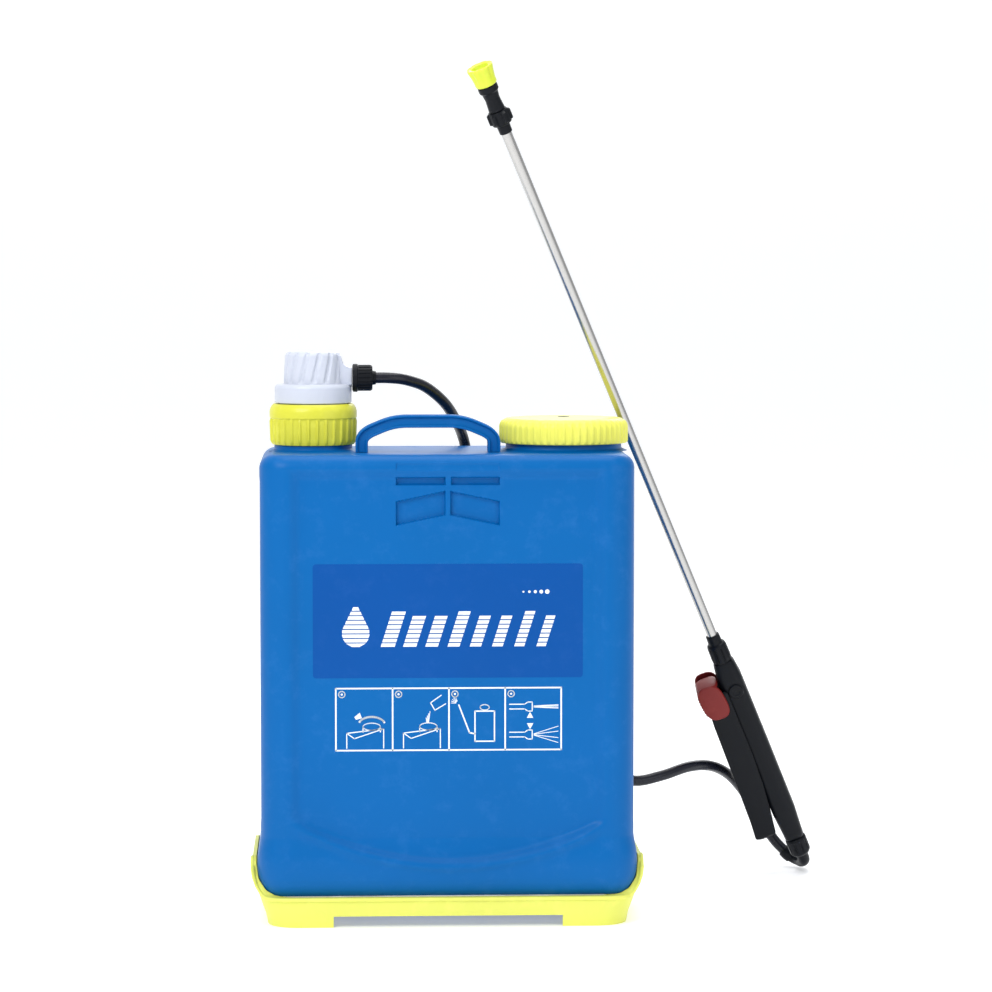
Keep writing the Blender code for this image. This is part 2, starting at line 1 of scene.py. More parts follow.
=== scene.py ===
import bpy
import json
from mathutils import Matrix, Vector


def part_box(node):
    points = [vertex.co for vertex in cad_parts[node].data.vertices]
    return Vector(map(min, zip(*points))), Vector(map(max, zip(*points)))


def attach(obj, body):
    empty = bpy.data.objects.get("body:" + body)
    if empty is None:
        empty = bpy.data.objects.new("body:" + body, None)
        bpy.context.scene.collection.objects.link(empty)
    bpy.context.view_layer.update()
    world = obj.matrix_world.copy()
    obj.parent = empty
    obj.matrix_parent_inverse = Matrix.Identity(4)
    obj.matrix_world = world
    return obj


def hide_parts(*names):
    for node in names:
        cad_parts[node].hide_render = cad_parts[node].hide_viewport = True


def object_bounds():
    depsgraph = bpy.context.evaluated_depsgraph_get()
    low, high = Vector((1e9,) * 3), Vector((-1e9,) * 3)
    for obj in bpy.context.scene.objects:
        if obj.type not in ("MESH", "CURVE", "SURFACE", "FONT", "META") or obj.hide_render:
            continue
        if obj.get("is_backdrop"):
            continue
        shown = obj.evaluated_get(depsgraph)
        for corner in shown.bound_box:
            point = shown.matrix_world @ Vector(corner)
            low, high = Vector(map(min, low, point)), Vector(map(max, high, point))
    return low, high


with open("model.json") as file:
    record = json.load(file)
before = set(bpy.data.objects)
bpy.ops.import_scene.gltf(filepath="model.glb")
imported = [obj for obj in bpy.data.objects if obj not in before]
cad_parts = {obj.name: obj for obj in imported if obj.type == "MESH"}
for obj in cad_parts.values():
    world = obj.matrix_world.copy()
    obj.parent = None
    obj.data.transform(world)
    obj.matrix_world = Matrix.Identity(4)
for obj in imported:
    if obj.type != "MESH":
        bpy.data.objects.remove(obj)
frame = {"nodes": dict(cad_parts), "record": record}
cad_box = [[float(value) for value in corner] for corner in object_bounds()]
import json
import math

import bmesh
import bpy
import numpy as np
from mathutils import Matrix

# ---- where it stands ----
# The sprayer is drawn about the middle of its tank, on the floor its feet stand on.
# The camera, floor and lights are set from the same middle.
tank_low, tank_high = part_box("tank")
middle = np.array([(tank_low[0] + tank_high[0]) / 2, (tank_low[1] + tank_high[1]) / 2, 0.0])


def here(x, y, z):
    """A point given from the tank's middle, in the row frame."""
    return middle + np.array([x, y, z])


def placed(name, data):
    """Link a new object that holds the data."""
    made = bpy.data.objects.new(name, data)
    bpy.context.scene.collection.objects.link(made)
    return made


def paint(name):
    """A new material, with its node tree and its shader."""
    made = bpy.data.materials.new(name)
    made.use_nodes = True
    return made, made.node_tree, made.node_tree.nodes["Principled BSDF"]


def fill_in(node, values):
    """Set a node's inputs by name or place; a value that is another node's output is linked."""
    for socket, value in values.items():
        if isinstance(value, bpy.types.NodeSocket):
            node.id_data.links.new(value, node.inputs[socket])
        else:
            node.inputs[socket].default_value = value


def shader_node(tree, kind, values, **settings):
    """Add a shader node, set its properties and then its inputs."""
    node = tree.nodes.new("ShaderNode" + kind)
    for key, value in settings.items():
        setattr(node, key, value)
    fill_in(node, values)
    return node


camera = placed("camera", bpy.data.cameras.new("camera"))
camera.data.lens = 131.3
camera.data.sensor_width = 36
camera.data.clip_end = 50
camera.location = here(-0.1, -3.4, 0.62)
camera.rotation_euler = (math.radians(90 - 3.81), 0, math.radians(-2.49))
bpy.context.scene.camera = camera

# the floor runs back and curves up into a wall
sweep_turn = np.linspace(0, math.pi / 2, 14)
sweep_y = np.concatenate([[-8.0], 4.8 + 1.4 * np.sin(sweep_turn), [6.2]])
sweep_z = np.concatenate([[0.0], 1.4 - 1.4 * np.cos(sweep_turn), [7.0]])
floor_mesh = bpy.data.meshes.new("floor")
floor_points = [tuple(here(x, y, z - 0.0002)) for y, z in zip(sweep_y, sweep_z) for x in (-8, 8)]
floor_mesh.from_pydata(floor_points, [], [(2 * i, 2 * i + 1, 2 * i + 3, 2 * i + 2)
                                          for i in range(len(sweep_y) - 1)])
floor = placed("floor", floor_mesh)
floor_paint, floor_tree, floor_shader = paint("floor_paint")
fill_in(floor_shader, {"Base Color": (0.93, 0.93, 0.93, 1), "Roughness": 0.6,
                       "Emission Color": (1, 1, 1, 1), "Emission Strength": 0.3})
floor_mesh.materials.append(floor_paint)
floor_mesh.shade_smooth()
floor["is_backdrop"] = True

for name, spot, size, power, aim in (("key", (-1.3, -1.9, 1.9), 1.4, 42, (-0.05, 0, 0.35)),
                                     ("fill", (1.7, -1.9, 1.1), 1.6, 10, (0.1, 0, 0.3)),
                                     ("top", (0.1, 0.1, 2.4), 1.6, 26, (0.1, 0, 0.2)),
                                     ("rear", (0.5, 2.0, 1.7), 1.2, 14, (0, 0, 0.3))):
    lamp = placed(name, bpy.data.lights.new(name, "AREA"))
    lamp.data.size = size
    lamp.data.energy = power
    lamp.location = here(*spot)
    toward = here(*aim) - here(*spot)
    lamp.rotation_euler = (math.atan2(math.hypot(toward[0], toward[1]), -toward[2]), 0,
                           math.atan2(-toward[0], toward[1]))
world = bpy.data.worlds.new("studio")
world.use_nodes = True
fill_in(world.node_tree.nodes["Background"], {"Color": (0.93, 0.96, 1.0, 1), "Strength": 0.6})
bpy.context.scene.world = world

# ---- delivery hose ----
# A smooth black PVC hose, 10.5 mm across, from the pump's outlet over the tank's shoulder.
# It drops behind the tank under the straps and comes round to the foot of the lance.


def smooth_route(knots, steps):
    """A curve through the knots: each span is the cubic whose end slopes are half the chord between
    the neighbouring knots."""
    ends = np.vstack([2 * knots[:1] - knots[1:2], knots, 2 * knots[-1:] - knots[-2:-1]])
    t = (np.arange(steps) / steps)[:, None, None]
    a, b, c, d = ends[:-3], ends[1:-2], ends[2:-1], ends[3:]
    spans = (2 * b + (c - a) * t + (2 * a - 5 * b + 4 * c - d) * t ** 2
             + (3 * b - a - 3 * c + d) * t ** 3) / 2
    return np.vstack([spans.transpose(1, 0, 2).reshape(-1, 3), knots[-1:]])


def mesh_object(name, mesh):
    """Link a mesh to the scene, smooth shaded with sharp edges past 35 degrees."""
    mesh.update()
    mesh.shade_smooth()
    mesh.set_sharp_from_angle(angle=math.radians(35))
    return placed(name, mesh)


def faces_out(mesh, weld=0.0, close=False):
    """Turn a mesh's faces outwards. Points nearer than weld are joined first, and open edges filled
    if close is set."""
    work = bmesh.new()
    work.from_mesh(mesh)
    if weld:
        bmesh.ops.remove_doubles(work, verts=work.verts, dist=weld)
    if close:
        bmesh.ops.holes_fill(work, edges=[edge for edge in work.edges if edge.is_boundary])
    bmesh.ops.recalc_face_normals(work, faces=work.faces)
    work.to_mesh(mesh)
    work.free()


def skin(name, points, loop=False, caps=True):
    """A surface through a grid of points: rows along, columns around, the last joined to the first.
    loop joins the last row to the first as well; otherwise caps close the end rows at a point."""
    rows, columns = points.shape[:2]
    vertices = points.reshape(-1, 3)
    r = np.arange(rows if loop else rows - 1)[:, None]
    c = np.arange(columns)[None, :]
    n, e = (r + 1) % rows, (c + 1) % columns
    faces = np.stack([r * columns + c, r * columns + e, n * columns + e, n * columns + c], -1)
    faces = [tuple(face) for face in faces.reshape(-1, 4).tolist()]
    if caps and not loop:
        vertices = np.vstack([vertices, points[0].mean(0), points[-1].mean(0)])
        first, last = len(vertices) - 2, len(vertices) - 1
        base = (rows - 1) * columns
        faces += [(first, (i + 1) % columns, i) for i in range(columns)]
        faces += [(last, base + i, base + (i + 1) % columns) for i in range(columns)]
    mesh = bpy.data.meshes.new(name)
    mesh.from_pydata(vertices.tolist(), [], faces)
    faces_out(mesh, weld=1e-6)
    return mesh_object(name, mesh)


hose_knots = np.array([here(*point) for point in (
    (-0.0678, 0.000, 0.505), (-0.052, 0.001, 0.5048), (-0.036, 0.008, 0.5025), (-0.018, 0.024, 0.4955),
    (0.0002, 0.046, 0.48), (0.012, 0.07, 0.462), (0.02, 0.092, 0.444), (0.025, 0.1015, 0.42),
    (0.029, 0.1, 0.39), (0.037, 0.0985, 0.34), (0.056, 0.098, 0.27), (0.085, 0.098, 0.205),
    (0.12, 0.0985, 0.155), (0.155, 0.1, 0.121), (0.186, 0.105, 0.107), (0.215, 0.115, 0.11),
    (0.243, 0.133, 0.116), (0.266, 0.156, 0.114), (0.285, 0.181, 0.104), (0.301, 0.202, 0.088),
    (0.315, 0.217, 0.068), (0.328, 0.2265, 0.046), (0.341, 0.229, 0.027), (0.3538, 0.2266, 0.0136))])
hose_path = smooth_route(hose_knots, 8)
HOSE_RADIUS = 0.00525
hose_curve = bpy.data.curves.new("hose_line", "CURVE")
hose_curve.dimensions = "3D"
hose_curve.bevel_depth = HOSE_RADIUS
hose_curve.bevel_resolution = 5
hose_curve.use_fill_caps = True
hose_spline = hose_curve.splines.new("POLY")
hose_spline.points.add(len(hose_path) - 1)
hose_spline.points.foreach_set("co", np.hstack([hose_path, np.ones((len(hose_path), 1))]).ravel())
hose_spline.use_smooth = True
hose = placed("delivery_hose", hose_curve)


def effect(name, inputs, outputs):
    """A shader node group with named value or colour sockets; returns its tree and its two ends."""
    tree = bpy.data.node_groups.new(name, "ShaderNodeTree")
    for label, kind, value in inputs:
        socket = tree.interface.new_socket(label, in_out="INPUT", socket_type=kind)
        socket.default_value = value
    for label, kind in outputs:
        tree.interface.new_socket(label, in_out="OUTPUT", socket_type=kind)
    return tree, tree.nodes.new("NodeGroupInput"), tree.nodes.new("NodeGroupOutput")


def moulded_effect():
    """Moulded plastic: a fine grain in the height, slow drift in the colour, and rubbed patches that
    are rougher and a little paler."""
    tree, given, result = effect("moulded_surface", [("Colour", "NodeSocketColor", (1, 1, 1, 1)),
                                                     ("Roughness", "NodeSocketFloat", 0.4),
                                                     ("Grain size", "NodeSocketFloat", 900.0),
                                                     ("Wear", "NodeSocketFloat", 0.3)],
                                 [("Colour", "NodeSocketColor"), ("Roughness", "NodeSocketFloat"),
                                  ("Height", "NodeSocketFloat")])
    spot = shader_node(tree, "TexCoord", {}).outputs["Object"]
    grain = shader_node(tree, "TexNoise", {"Detail": 3, "Vector": spot, "Scale": given.outputs["Grain size"]})
    drift = shader_node(tree, "TexNoise", {"Scale": 9, "Detail": 4, "Vector": spot})
    rub = shader_node(tree, "TexNoise", {"Scale": 60, "Detail": 8, "Roughness": 0.7, "Vector": spot})
    patches = shader_node(tree, "MapRange", {"From Min": 0.52, "From Max": 0.72, "Value": rub.outputs["Fac"]})
    worn = shader_node(tree, "Math", {0: patches.outputs["Result"], 1: given.outputs["Wear"]},
                       operation="MULTIPLY").outputs[0]
    value = shader_node(tree, "MapRange", {"To Min": 0.93, "To Max": 1.07, "Value": drift.outputs["Fac"]})
    shade = shader_node(tree, "HueSaturation", {"Value": value.outputs["Result"],
                                                "Color": given.outputs["Colour"]}).outputs["Color"]
    rubbed = shader_node(tree, "HueSaturation", {"Saturation": 0.92, "Value": 1.4, "Color": shade})
    pale = shader_node(tree, "Mix", {"Factor": worn, "A": shade, "B": rubbed.outputs["Color"]},
                       data_type="RGBA")
    rough = shader_node(tree, "Math", {0: worn, 1: 0.45, 2: given.outputs["Roughness"]},
                        operation="MULTIPLY_ADD")
    fill_in(result, {"Colour": pale.outputs["Result"], "Roughness": rough.outputs[0],
                     "Height": grain.outputs["Fac"]})
    return tree


moulded = moulded_effect()


def plastic(name, colour, roughness, grain=900.0, wear=0.3, bump=0.04, coat=0.0, glow=0.0, shine=0.3):
    """A moulded finish: the group drives colour, roughness and a slight bump."""
    made, tree, shader = paint(name)
    surface = shader_node(tree, "Group", {"Colour": (*colour, 1), "Roughness": roughness, "Grain size": grain,
                                          "Wear": wear}, node_tree=moulded)
    relief = shader_node(tree, "Bump", {"Strength": bump, "Distance": 0.0005,
                                        "Height": surface.outputs["Height"]})
    fill_in(shader, {"Base Color": surface.outputs["Colour"], "Roughness": surface.outputs["Roughness"],
                     "Normal": relief.outputs["Normal"], "Coat Weight": coat, "Subsurface Weight": glow,
                     "Subsurface Radius": (0.01, 0.01, 0.01), "Specular IOR Level": shine})
    return made


def finish(piece, body, slot, material, *nodes):
    """Give a piece its material and its body, and hide the parts it stands for."""
    piece.data.materials.clear()
    piece.data.materials.append(material)
    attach(piece, body)
    if nodes:
        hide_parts(*nodes)
    return piece


hose_black = plastic("hose_black", (0.008, 0.009, 0.016), 0.26, grain=350, wear=0.35, bump=0.03)
finish(hose, "root", "hose_black", hose_black, "hose")

# ---- tank ----
# Blow-moulded blue polyethylene: a slab with rounded corners, a dished front above a smiling ridge,
# and an emblem pressed under its top edge. It is open below on the left, where the drive runs.
HALF_X, HALF_Y, CORNER = 0.1735, 0.088, 0.026
CORE_X, CORE_Y = HALF_X - CORNER, HALF_Y - CORNER
TANK_TOP, SHOULDER, DISH, EMBLEM = 0.437, 0.0135, 0.0045, 0.0044


def ease(value, low, high):
    """0 below low, 1 above high, and a smooth S between."""
    t = np.clip((value - low) / (high - low), 0, 1)
    return t * t * (3 - 2 * t)


def window(value, low, high, soft):
    """1 between low and high, falling smoothly to 0 over soft inside each end."""
    return ease(value, low, low + soft) * ease(-value, -high, -high + soft)


def slab(x, z, left, right, low, high, slope=0.0, edge=0.0007):
    """1 inside a four-sided recess whose top and bottom rise by slope per unit x, 0 outside."""
    lift = z - slope * (x - (left + right) / 2)
    inside = np.minimum(np.minimum(x - left, right - x), np.minimum(lift - low, high - lift))
    return ease(inside, -edge, edge)


def front_depth(x, z):
    """How far the front is pressed in: the dish above the smile, the emblem's two slots and two
    chevrons, and the notch in the top edge."""
    smile = 0.06 + 0.039 * ((x - 0.003) / 0.148) ** 2
    crest = np.exp(-((z - smile + 0.004) / 0.0042) ** 2) * ease(-np.abs(x), -0.146, -0.126)
    border = ease(np.minimum(0.424 - z, 0.146 - np.abs(x)), -0.001, 0.011)
    dish = DISH * ease(z - smile, -0.001, 0.006) * border - 0.0026 * crest
    chevrons = (slab(x, z, -0.0475, -0.0025, 0.377, 0.3985, 0.21)
                + slab(x, z, 0.0025, 0.0475, 0.377, 0.3985, -0.21))
    slots = slab(x, z, -0.0475, -0.0025, 0.4095, 0.416) + slab(x, z, 0.0035, 0.0475, 0.4095, 0.416)
    notch = slab(x, z, -0.0475, 0.0475, 0.4235, 0.4285, edge=0.0006)
    return dish + EMBLEM * chevrons + EMBLEM * slots + 0.0016 * notch


fine_x = np.linspace(-0.05, 0.05, 151)
wide_x = np.concatenate([np.linspace(-CORE_X, -0.052, 30), fine_x, np.linspace(0.052, CORE_X, 30)])
side_y = np.linspace(-CORE_Y, CORE_Y, 16)
back_x = np.linspace(CORE_X, -CORE_X, 24)
turns = np.linspace(0, math.pi / 2, 9)[1:-1]
cores, normals = [], []
for (kx, ky, angle), corner_at in (((wide_x, -CORE_Y + 0 * wide_x, -math.pi / 2), (CORE_X, -CORE_Y)),
                                   ((CORE_X + 0 * side_y, side_y, 0.0), (CORE_X, CORE_Y)),
                                   ((back_x, CORE_Y + 0 * back_x, math.pi / 2), (-CORE_X, CORE_Y)),
                                   ((-CORE_X + 0 * side_y, -side_y, math.pi), (-CORE_X, -CORE_Y))):
    cores.append(np.stack([kx, ky], -1))
    normals.append(np.tile([math.cos(angle), math.sin(angle)], (len(kx), 1)))
    cores.append(np.tile(corner_at, (len(turns), 1)))
    normals.append(np.stack([np.cos(angle + turns), np.sin(angle + turns)], -1))
core, outward = np.vstack(cores), np.vstack(normals)

lower = np.array([0.0283, 0.031, 0.034, 0.039, 0.044, 0.05, 0.056, 0.062, 0.068, 0.075, 0.082])
spread = np.array([-0.006, -0.0035, -0.0016, 0.0008, 0.0024, 0.0032, 0.0035, 0.0033, 0.0026, 0.0011, 0.0])
wall_z = np.concatenate([lower[:4], np.arange(0.0405, 0.1105, 0.0015), np.arange(0.112, 0.37, 0.004),
                         np.arange(0.3705, 0.423, 0.0008)])
wall_side = np.interp(wall_z, lower, spread)
bend = np.linspace(0, math.pi / 2, 14)
shoulder_z = TANK_TOP - SHOULDER + SHOULDER * np.sin(bend)
shoulder_side = SHOULDER * (np.cos(bend) - 1)
rows_z = np.concatenate([wall_z, shoulder_z])
rows_side = np.concatenate([wall_side, shoulder_side])
flat = core + outward * (CORNER + rows_side)[:, None, None]
press = front_depth(flat[..., 0], rows_z[:, None]) * (outward[:, 1] < -0.999)
flat = flat - outward * press[..., None]
# the side panels are dished by a millimetre
side_dish = 0.001 * window(rows_z, 0.09, 0.42, 0.02)
flat = flat - outward * (side_dish[:, None] * (np.abs(outward[:, 0]) > 0.999))[..., None]
tank_rows = np.dstack([flat, np.broadcast_to(rows_z[:, None, None], flat.shape[:2] + (1,))])


def at_height(outline, z):
    """A flat outline's points, all at one height."""
    return np.column_stack([outline, np.full(len(outline), z)])


lid_rows = [at_height((core + outward * (CORNER - SHOULDER)) * shrink, TANK_TOP)
            for shrink in (0.9, 0.5, 0.1)]
under = [at_height((core + outward * (CORNER - 0.006)) * shrink, lower[0]) for shrink in (0.1, 0.5, 0.9)]
tank_grid = np.concatenate([np.array(under), tank_rows, np.array(lid_rows)]) + middle
tank_body = skin("tank_shell", tank_grid)


def carve(piece, *boxes):
    """Cut boxes, each a low and a high corner from the tank's middle, out of a closed piece."""
    for low, high in boxes:
        cutter_mesh = bpy.data.meshes.new("cutter")
        shape = bmesh.new()
        bmesh.ops.create_cube(shape, size=1)
        low, high = here(*low), here(*high)
        shape.transform(Matrix.LocRotScale((low + high) / 2, None, high - low))
        shape.to_mesh(cutter_mesh)
        shape.free()
        cutter = placed("cutter", cutter_mesh)
        cut = piece.modifiers.new("cut", "BOOLEAN")
        cut.object = cutter
        bpy.context.view_layer.update()
        graph = bpy.context.evaluated_depsgraph_get()
        result = bpy.data.meshes.new_from_object(piece.evaluated_get(graph))
        piece.modifiers.clear()
        piece.data = result
        bpy.data.objects.remove(cutter, do_unlink=True)


carve(tank_body, ((-0.168, -0.028, 0.02), (-0.098, 0.11, 0.08)), ((-0.2, 0.041, 0.02), (0.2, 0.059, 0.047)))
tank_blue = plastic("tank_blue", (0.0004, 0.114, 0.372), 0.36, grain=420, wear=0.18, bump=0.05, glow=0.05,
                    shine=0.13)
finish(tank_body, "root", "tank_blue", tank_blue, "tank")


def round_about(count):
    """Angles spaced evenly round a full turn."""
    return np.arange(count) * 2 * math.pi / count


def revolve(profile, segments, ripple):
    """Rings of (across, over, along) round a line, for (radius, along) pairs. ripple(angle, along,
    radius) adds to the radius, as ribs or flutes do."""
    profile = np.asarray(profile, float)
    angle = round_about(segments)
    radius = np.broadcast_to(profile[:, :1], (len(profile), segments))
    along = np.broadcast_to(profile[:, 1:2], radius.shape)
    if ripple is not None:
        radius = radius + ripple(angle[None, :], along, radius)
    return np.stack([radius * np.cos(angle), radius * np.sin(angle), along], -1)


def lathe(name, profile, centre, segments=96, ripple=None, loop=False):
    """Turn (radius, height) pairs about a vertical line through centre."""
    return skin(name, revolve(profile, segments, ripple) + centre, loop=loop)


def rounded(points, radius, steps=5):
    """A profile with its inner corners replaced by small curves: each corner becomes a quadratic
    between points set back along both edges."""
    points = [np.asarray(point, float) for point in points]
    made = [points[0]]
    for before, corner, after in zip(points, points[1:], points[2:]):
        a, b = before - corner, after - corner
        la, lb = np.linalg.norm(a), np.linalg.norm(b)
        start = corner + a / la * min(radius, la * 0.45)
        stop = corner + b / lb * min(radius, lb * 0.45)
        for t in np.linspace(0, 1, steps):
            made.append((1 - t) ** 2 * start + 2 * t * (1 - t) * corner + t ** 2 * stop)
    made.append(points[-1])
    return np.array(made)


pump_at, filler_at = here(-0.124, 0, 0), here(0.1115, 0, 0)
neck_profile = rounded([(0.042, 0.4368), (0.0366, 0.4385), (0.0366, 0.4425), (0.0355, 0.4435),
                        (0.0355, 0.4724), (0.0296, 0.4724), (0.0296, 0.4368)], 0.0012)
finish(lathe("pump_neck", neck_profile, pump_at), "root", "tank_blue", tank_blue)
filler_neck_profile = rounded([(0.06, 0.4368), (0.0546, 0.439), (0.0542, 0.444), (0.053, 0.446),
                               (0.053, 0.4578), (0.0476, 0.4578), (0.0476, 0.4368)], 0.0012)
finish(lathe("filler_neck", filler_neck_profile, filler_at, 128), "root", "tank_blue", tank_blue)

# ---- base ----
# A pale yellow moulded skirt the tank drops into. Its sides rise into ears that carry the cross
# shaft, its front and back are low, and it stands on four corner feet with arches between.
base_yellow = plastic("base_yellow", (0.74, 0.76, 0.135), 0.38, grain=500, wear=0.25, bump=0.04, glow=0.08)
base_copy = frame["nodes"]["base"].data.copy()
faces_out(base_copy, weld=1e-5)
base_body = placed("base_skirt", base_copy)
round_edges = base_body.modifiers.new("rounded", "BEVEL")
round_edges.width = 0.0012
round_edges.segments = 3
round_edges.limit_method = "ANGLE"
base_copy.shade_smooth()
base_copy.set_sharp_from_angle(angle=math.radians(30))
finish(base_body, "root", "base_yellow", base_yellow, "base")

# ---- ring nut, pump head and outlet nut ----
# The ribbed yellow nut clamps the white head to the tank's neck. The head is a fluted dome on a
# flange, with a spout to which a knurled black nut holds the hose.
moulded_yellow = plastic("moulded_yellow", (0.65, 0.64, 0.05), 0.34, grain=450, wear=0.3, bump=0.04,
                         coat=0.1, glow=0.08)
head_white = plastic("head_white", (0.565, 0.595, 0.68), 0.3, grain=300, wear=0.1, bump=0.03, coat=0.1,
                     glow=0.2)
black = plastic("black_plastic", (0.005, 0.006, 0.0085), 0.36, grain=900, wear=0.6, bump=0.1, shine=0.14)


def ribs(count, depth, low, high, width=0.5):
    """Upright rounded ribs: the radius grows by depth where the cosine of count turns is above a
    level set by width, between two heights."""
    def ripple(angle, height, radius):
        wave = ease(np.cos(count * angle), 0.3 - width, 0.9 - width)
        return depth * wave * window(height, low, high, 0.0012)
    return ripple


nut_heights = np.linspace(0.4445, 0.4668, 12)
nut_profile = np.vstack([[(0.0364, 0.443), (0.0384, 0.443)],
                         np.column_stack([0.0388 + 0.0008 * (nut_heights - 0.4445) / 0.022, nut_heights]),
                         [(0.0402, 0.4674), (0.0409, 0.4682), (0.041, 0.474), (0.0402, 0.4772),
                          (0.0388, 0.4796), (0.0372, 0.481), (0.0337, 0.481), (0.0337, 0.4784),
                          (0.0364, 0.4784)]])
ring_nut = lathe("ring_nut", nut_profile, pump_at, 30 * 14, ribs(30, 0.0015, 0.444, 0.4674, 0.0), loop=True)
finish(ring_nut, "ring_nut", "yellow_plastic", moulded_yellow, "pump_ring_nut")


def flutes(angle, height, radius):
    """Shallow flutes round the dome: broad lands with narrow grooves that lean as they climb, fading
    out at the crown and at the skirt."""
    lean = angle - 9.0 * (height - 0.5)
    groove = ease(-np.cos(14 * lean), 0.15, 0.85)
    return -0.0019 * groove * ease(height, 0.5, 0.503) * ease(-height, -0.5297, -0.5275)


dome_wall, dome_turn = np.linspace(0, 1, 18), np.linspace(0, math.pi / 2, 9)[1:]
dome_top = np.linspace(0.0216, 0.0, 5)[1:]
dome = np.vstack([np.column_stack([0.0276 - 0.0012 * dome_wall, 0.4998 + 0.025 * dome_wall]),
                  np.column_stack([0.0216 + 0.0048 * np.cos(dome_turn), 0.525 + 0.0048 * np.sin(dome_turn)]),
                  np.column_stack([dome_top, 0.5298 + 0.0004 * (1 - (dome_top / 0.0216) ** 2)])])
head_profile = np.vstack([[(0.0, 0.4751), (0.035, 0.4751), (0.0352, 0.478), (0.032, 0.4783)],
                          rounded([(0.032, 0.4818), (0.0361, 0.4818), (0.0361, 0.4965), (0.0346, 0.4992),
                                   (0.0278, 0.4996)], 0.001), dome])
finish(lathe("pump_dome", head_profile, pump_at, 168, flutes), "root", "head_white", head_white, "pump_head")


def along_x(name, profile, start, segments=64, ripple=None):
    """Turn (radius, distance) pairs about a line along +X through start."""
    return skin(name, revolve(profile, segments, ripple)[..., [2, 0, 1]] + start)


outlet_at = here(-0.124, 0, 0.505)
spout = along_x("outlet_spout", [(0.0, 0.018), (0.013, 0.018), (0.0112, 0.0245), (0.0094, 0.029),
                                 (0.009, 0.0364), (0.0, 0.0364)], outlet_at)
finish(spout, "root", "head_white", head_white)
# a web from the dome's shoulder to the flange carries the spout; its top edge is a hollow curve
web_outline = rounded([(0.02, 0.4985), (0.0363, 0.4985), (0.0363, 0.515), (0.0318, 0.5158), (0.0284, 0.5182),
                       (0.0268, 0.5225), (0.0262, 0.5268), (0.02, 0.5268), (0.02, 0.4985)], 0.0014)[:-1]
web_middle = np.array([0.0282, 0.508])
web_depth = np.array([-0.01, -0.0097, -0.0088, 0.0088, 0.0097, 0.01])
web_shrink = 1 - np.array([0.1, 0.03, 0, 0, 0.03, 0.1])
web_flat = web_middle + (web_outline - web_middle) * web_shrink[:, None, None]
web_points = np.stack([web_flat[..., 0], np.broadcast_to(web_depth[:, None], web_flat.shape[:2]),
                       web_flat[..., 1]], -1)
finish(skin("spout_web", web_points + pump_at), "root", "head_white", head_white)


def knurl(angle, run, radius):
    """Twenty fine teeth along the nut's grip."""
    return -0.0008 * ease(np.cos(20 * angle), -0.1, 0.7) * window(run, 0.0424, 0.0545, 0.0008)


nut = along_x("outlet_nut_grip", [(0.0, 0.0367), (0.0112, 0.0367), (0.0131, 0.0375), (0.0133, 0.0412),
                                  (0.0123, 0.042), (0.0123, 0.0426), (0.0123, 0.0434), (0.0123, 0.053),
                                  (0.0122, 0.054), (0.0112, 0.0556), (0.0068, 0.0558), (0.0062, 0.059),
                                  (0.0, 0.059)], outlet_at, 160, knurl)
finish(nut, "root", "black_plastic", black, "outlet_nut")

# ---- filler lid ----
# A wide yellow screw cap with fine grip ribs round its wall, a slightly crowned top and a small
# black breather in the middle.
lid_yellow = plastic("lid_yellow", (0.8, 0.79, 0.12), 0.34, grain=450, wear=0.2, bump=0.04, coat=0.1,
                     glow=0.1)
rim_heights, rim_turn = np.linspace(0.4446, 0.459, 10), np.linspace(0, math.pi / 2, 10)[1:]
crown = np.linspace(0.0512, 0.0, 7)[1:]
cap_profile = np.vstack([[(0.056, 0.462), (0.056, 0.444), (0.059, 0.444)],
                         np.column_stack([0.0597 + 0 * rim_heights, rim_heights]),
                         np.column_stack([0.0512 + 0.0085 * np.cos(rim_turn),
                                          0.459 + 0.0085 * np.sin(rim_turn)]),
                         np.column_stack([crown, 0.4675 + 0.0007 * (1 - (crown / 0.0512) ** 2)])])
cap = lathe("filler_cap", cap_profile, filler_at, 54 * 10, ribs(54, 0.001, 0.4444, 0.4655, 0.3))
finish(cap, "lid", "yellow_plastic", lid_yellow, "filler_lid")
breather = lathe("breather", rounded([(0.0058, 0.464), (0.0058, 0.4683), (0.0048, 0.4687), (0.0, 0.4688)],
                                     0.0004), filler_at, 40)
finish(breather, "lid", "black_plastic", black, "lid_vent")

# ---- carry handle ----
# A blue moulded bail on the tank's top: rounded outer corners, sloping shoulders and a level grip.
# Each edge is a raised bead with a shallow trough between, as a channel moulding has.


def unit(vectors):
    """The same directions, one metre long."""
    return vectors / np.linalg.norm(vectors, axis=-1, keepdims=True)


def carried(name, path, section, side):
    """Carry a closed section of (across, out) pairs along a path of points: across runs along the
    fixed side vector and out along the path's in-plane normal, which is side x tangent."""
    path, section, side = np.asarray(path, float), np.asarray(section, float), np.asarray(side, float)
    out = unit(np.cross(side, unit(np.gradient(path, axis=0))))
    if section.ndim == 2:
        section = np.broadcast_to(section, (len(path),) + section.shape)
    return skin(name, path[:, None] + section[..., 0:1] * side + section[..., 1:2] * out[:, None])


bail_line = rounded([(-0.079, TANK_TOP + 0.0004), (-0.079, 0.4535), (-0.049, 0.466), (0.015, 0.466),
                     (0.0445, 0.4535), (0.0445, TANK_TOP + 0.0004)], 0.012, 9)
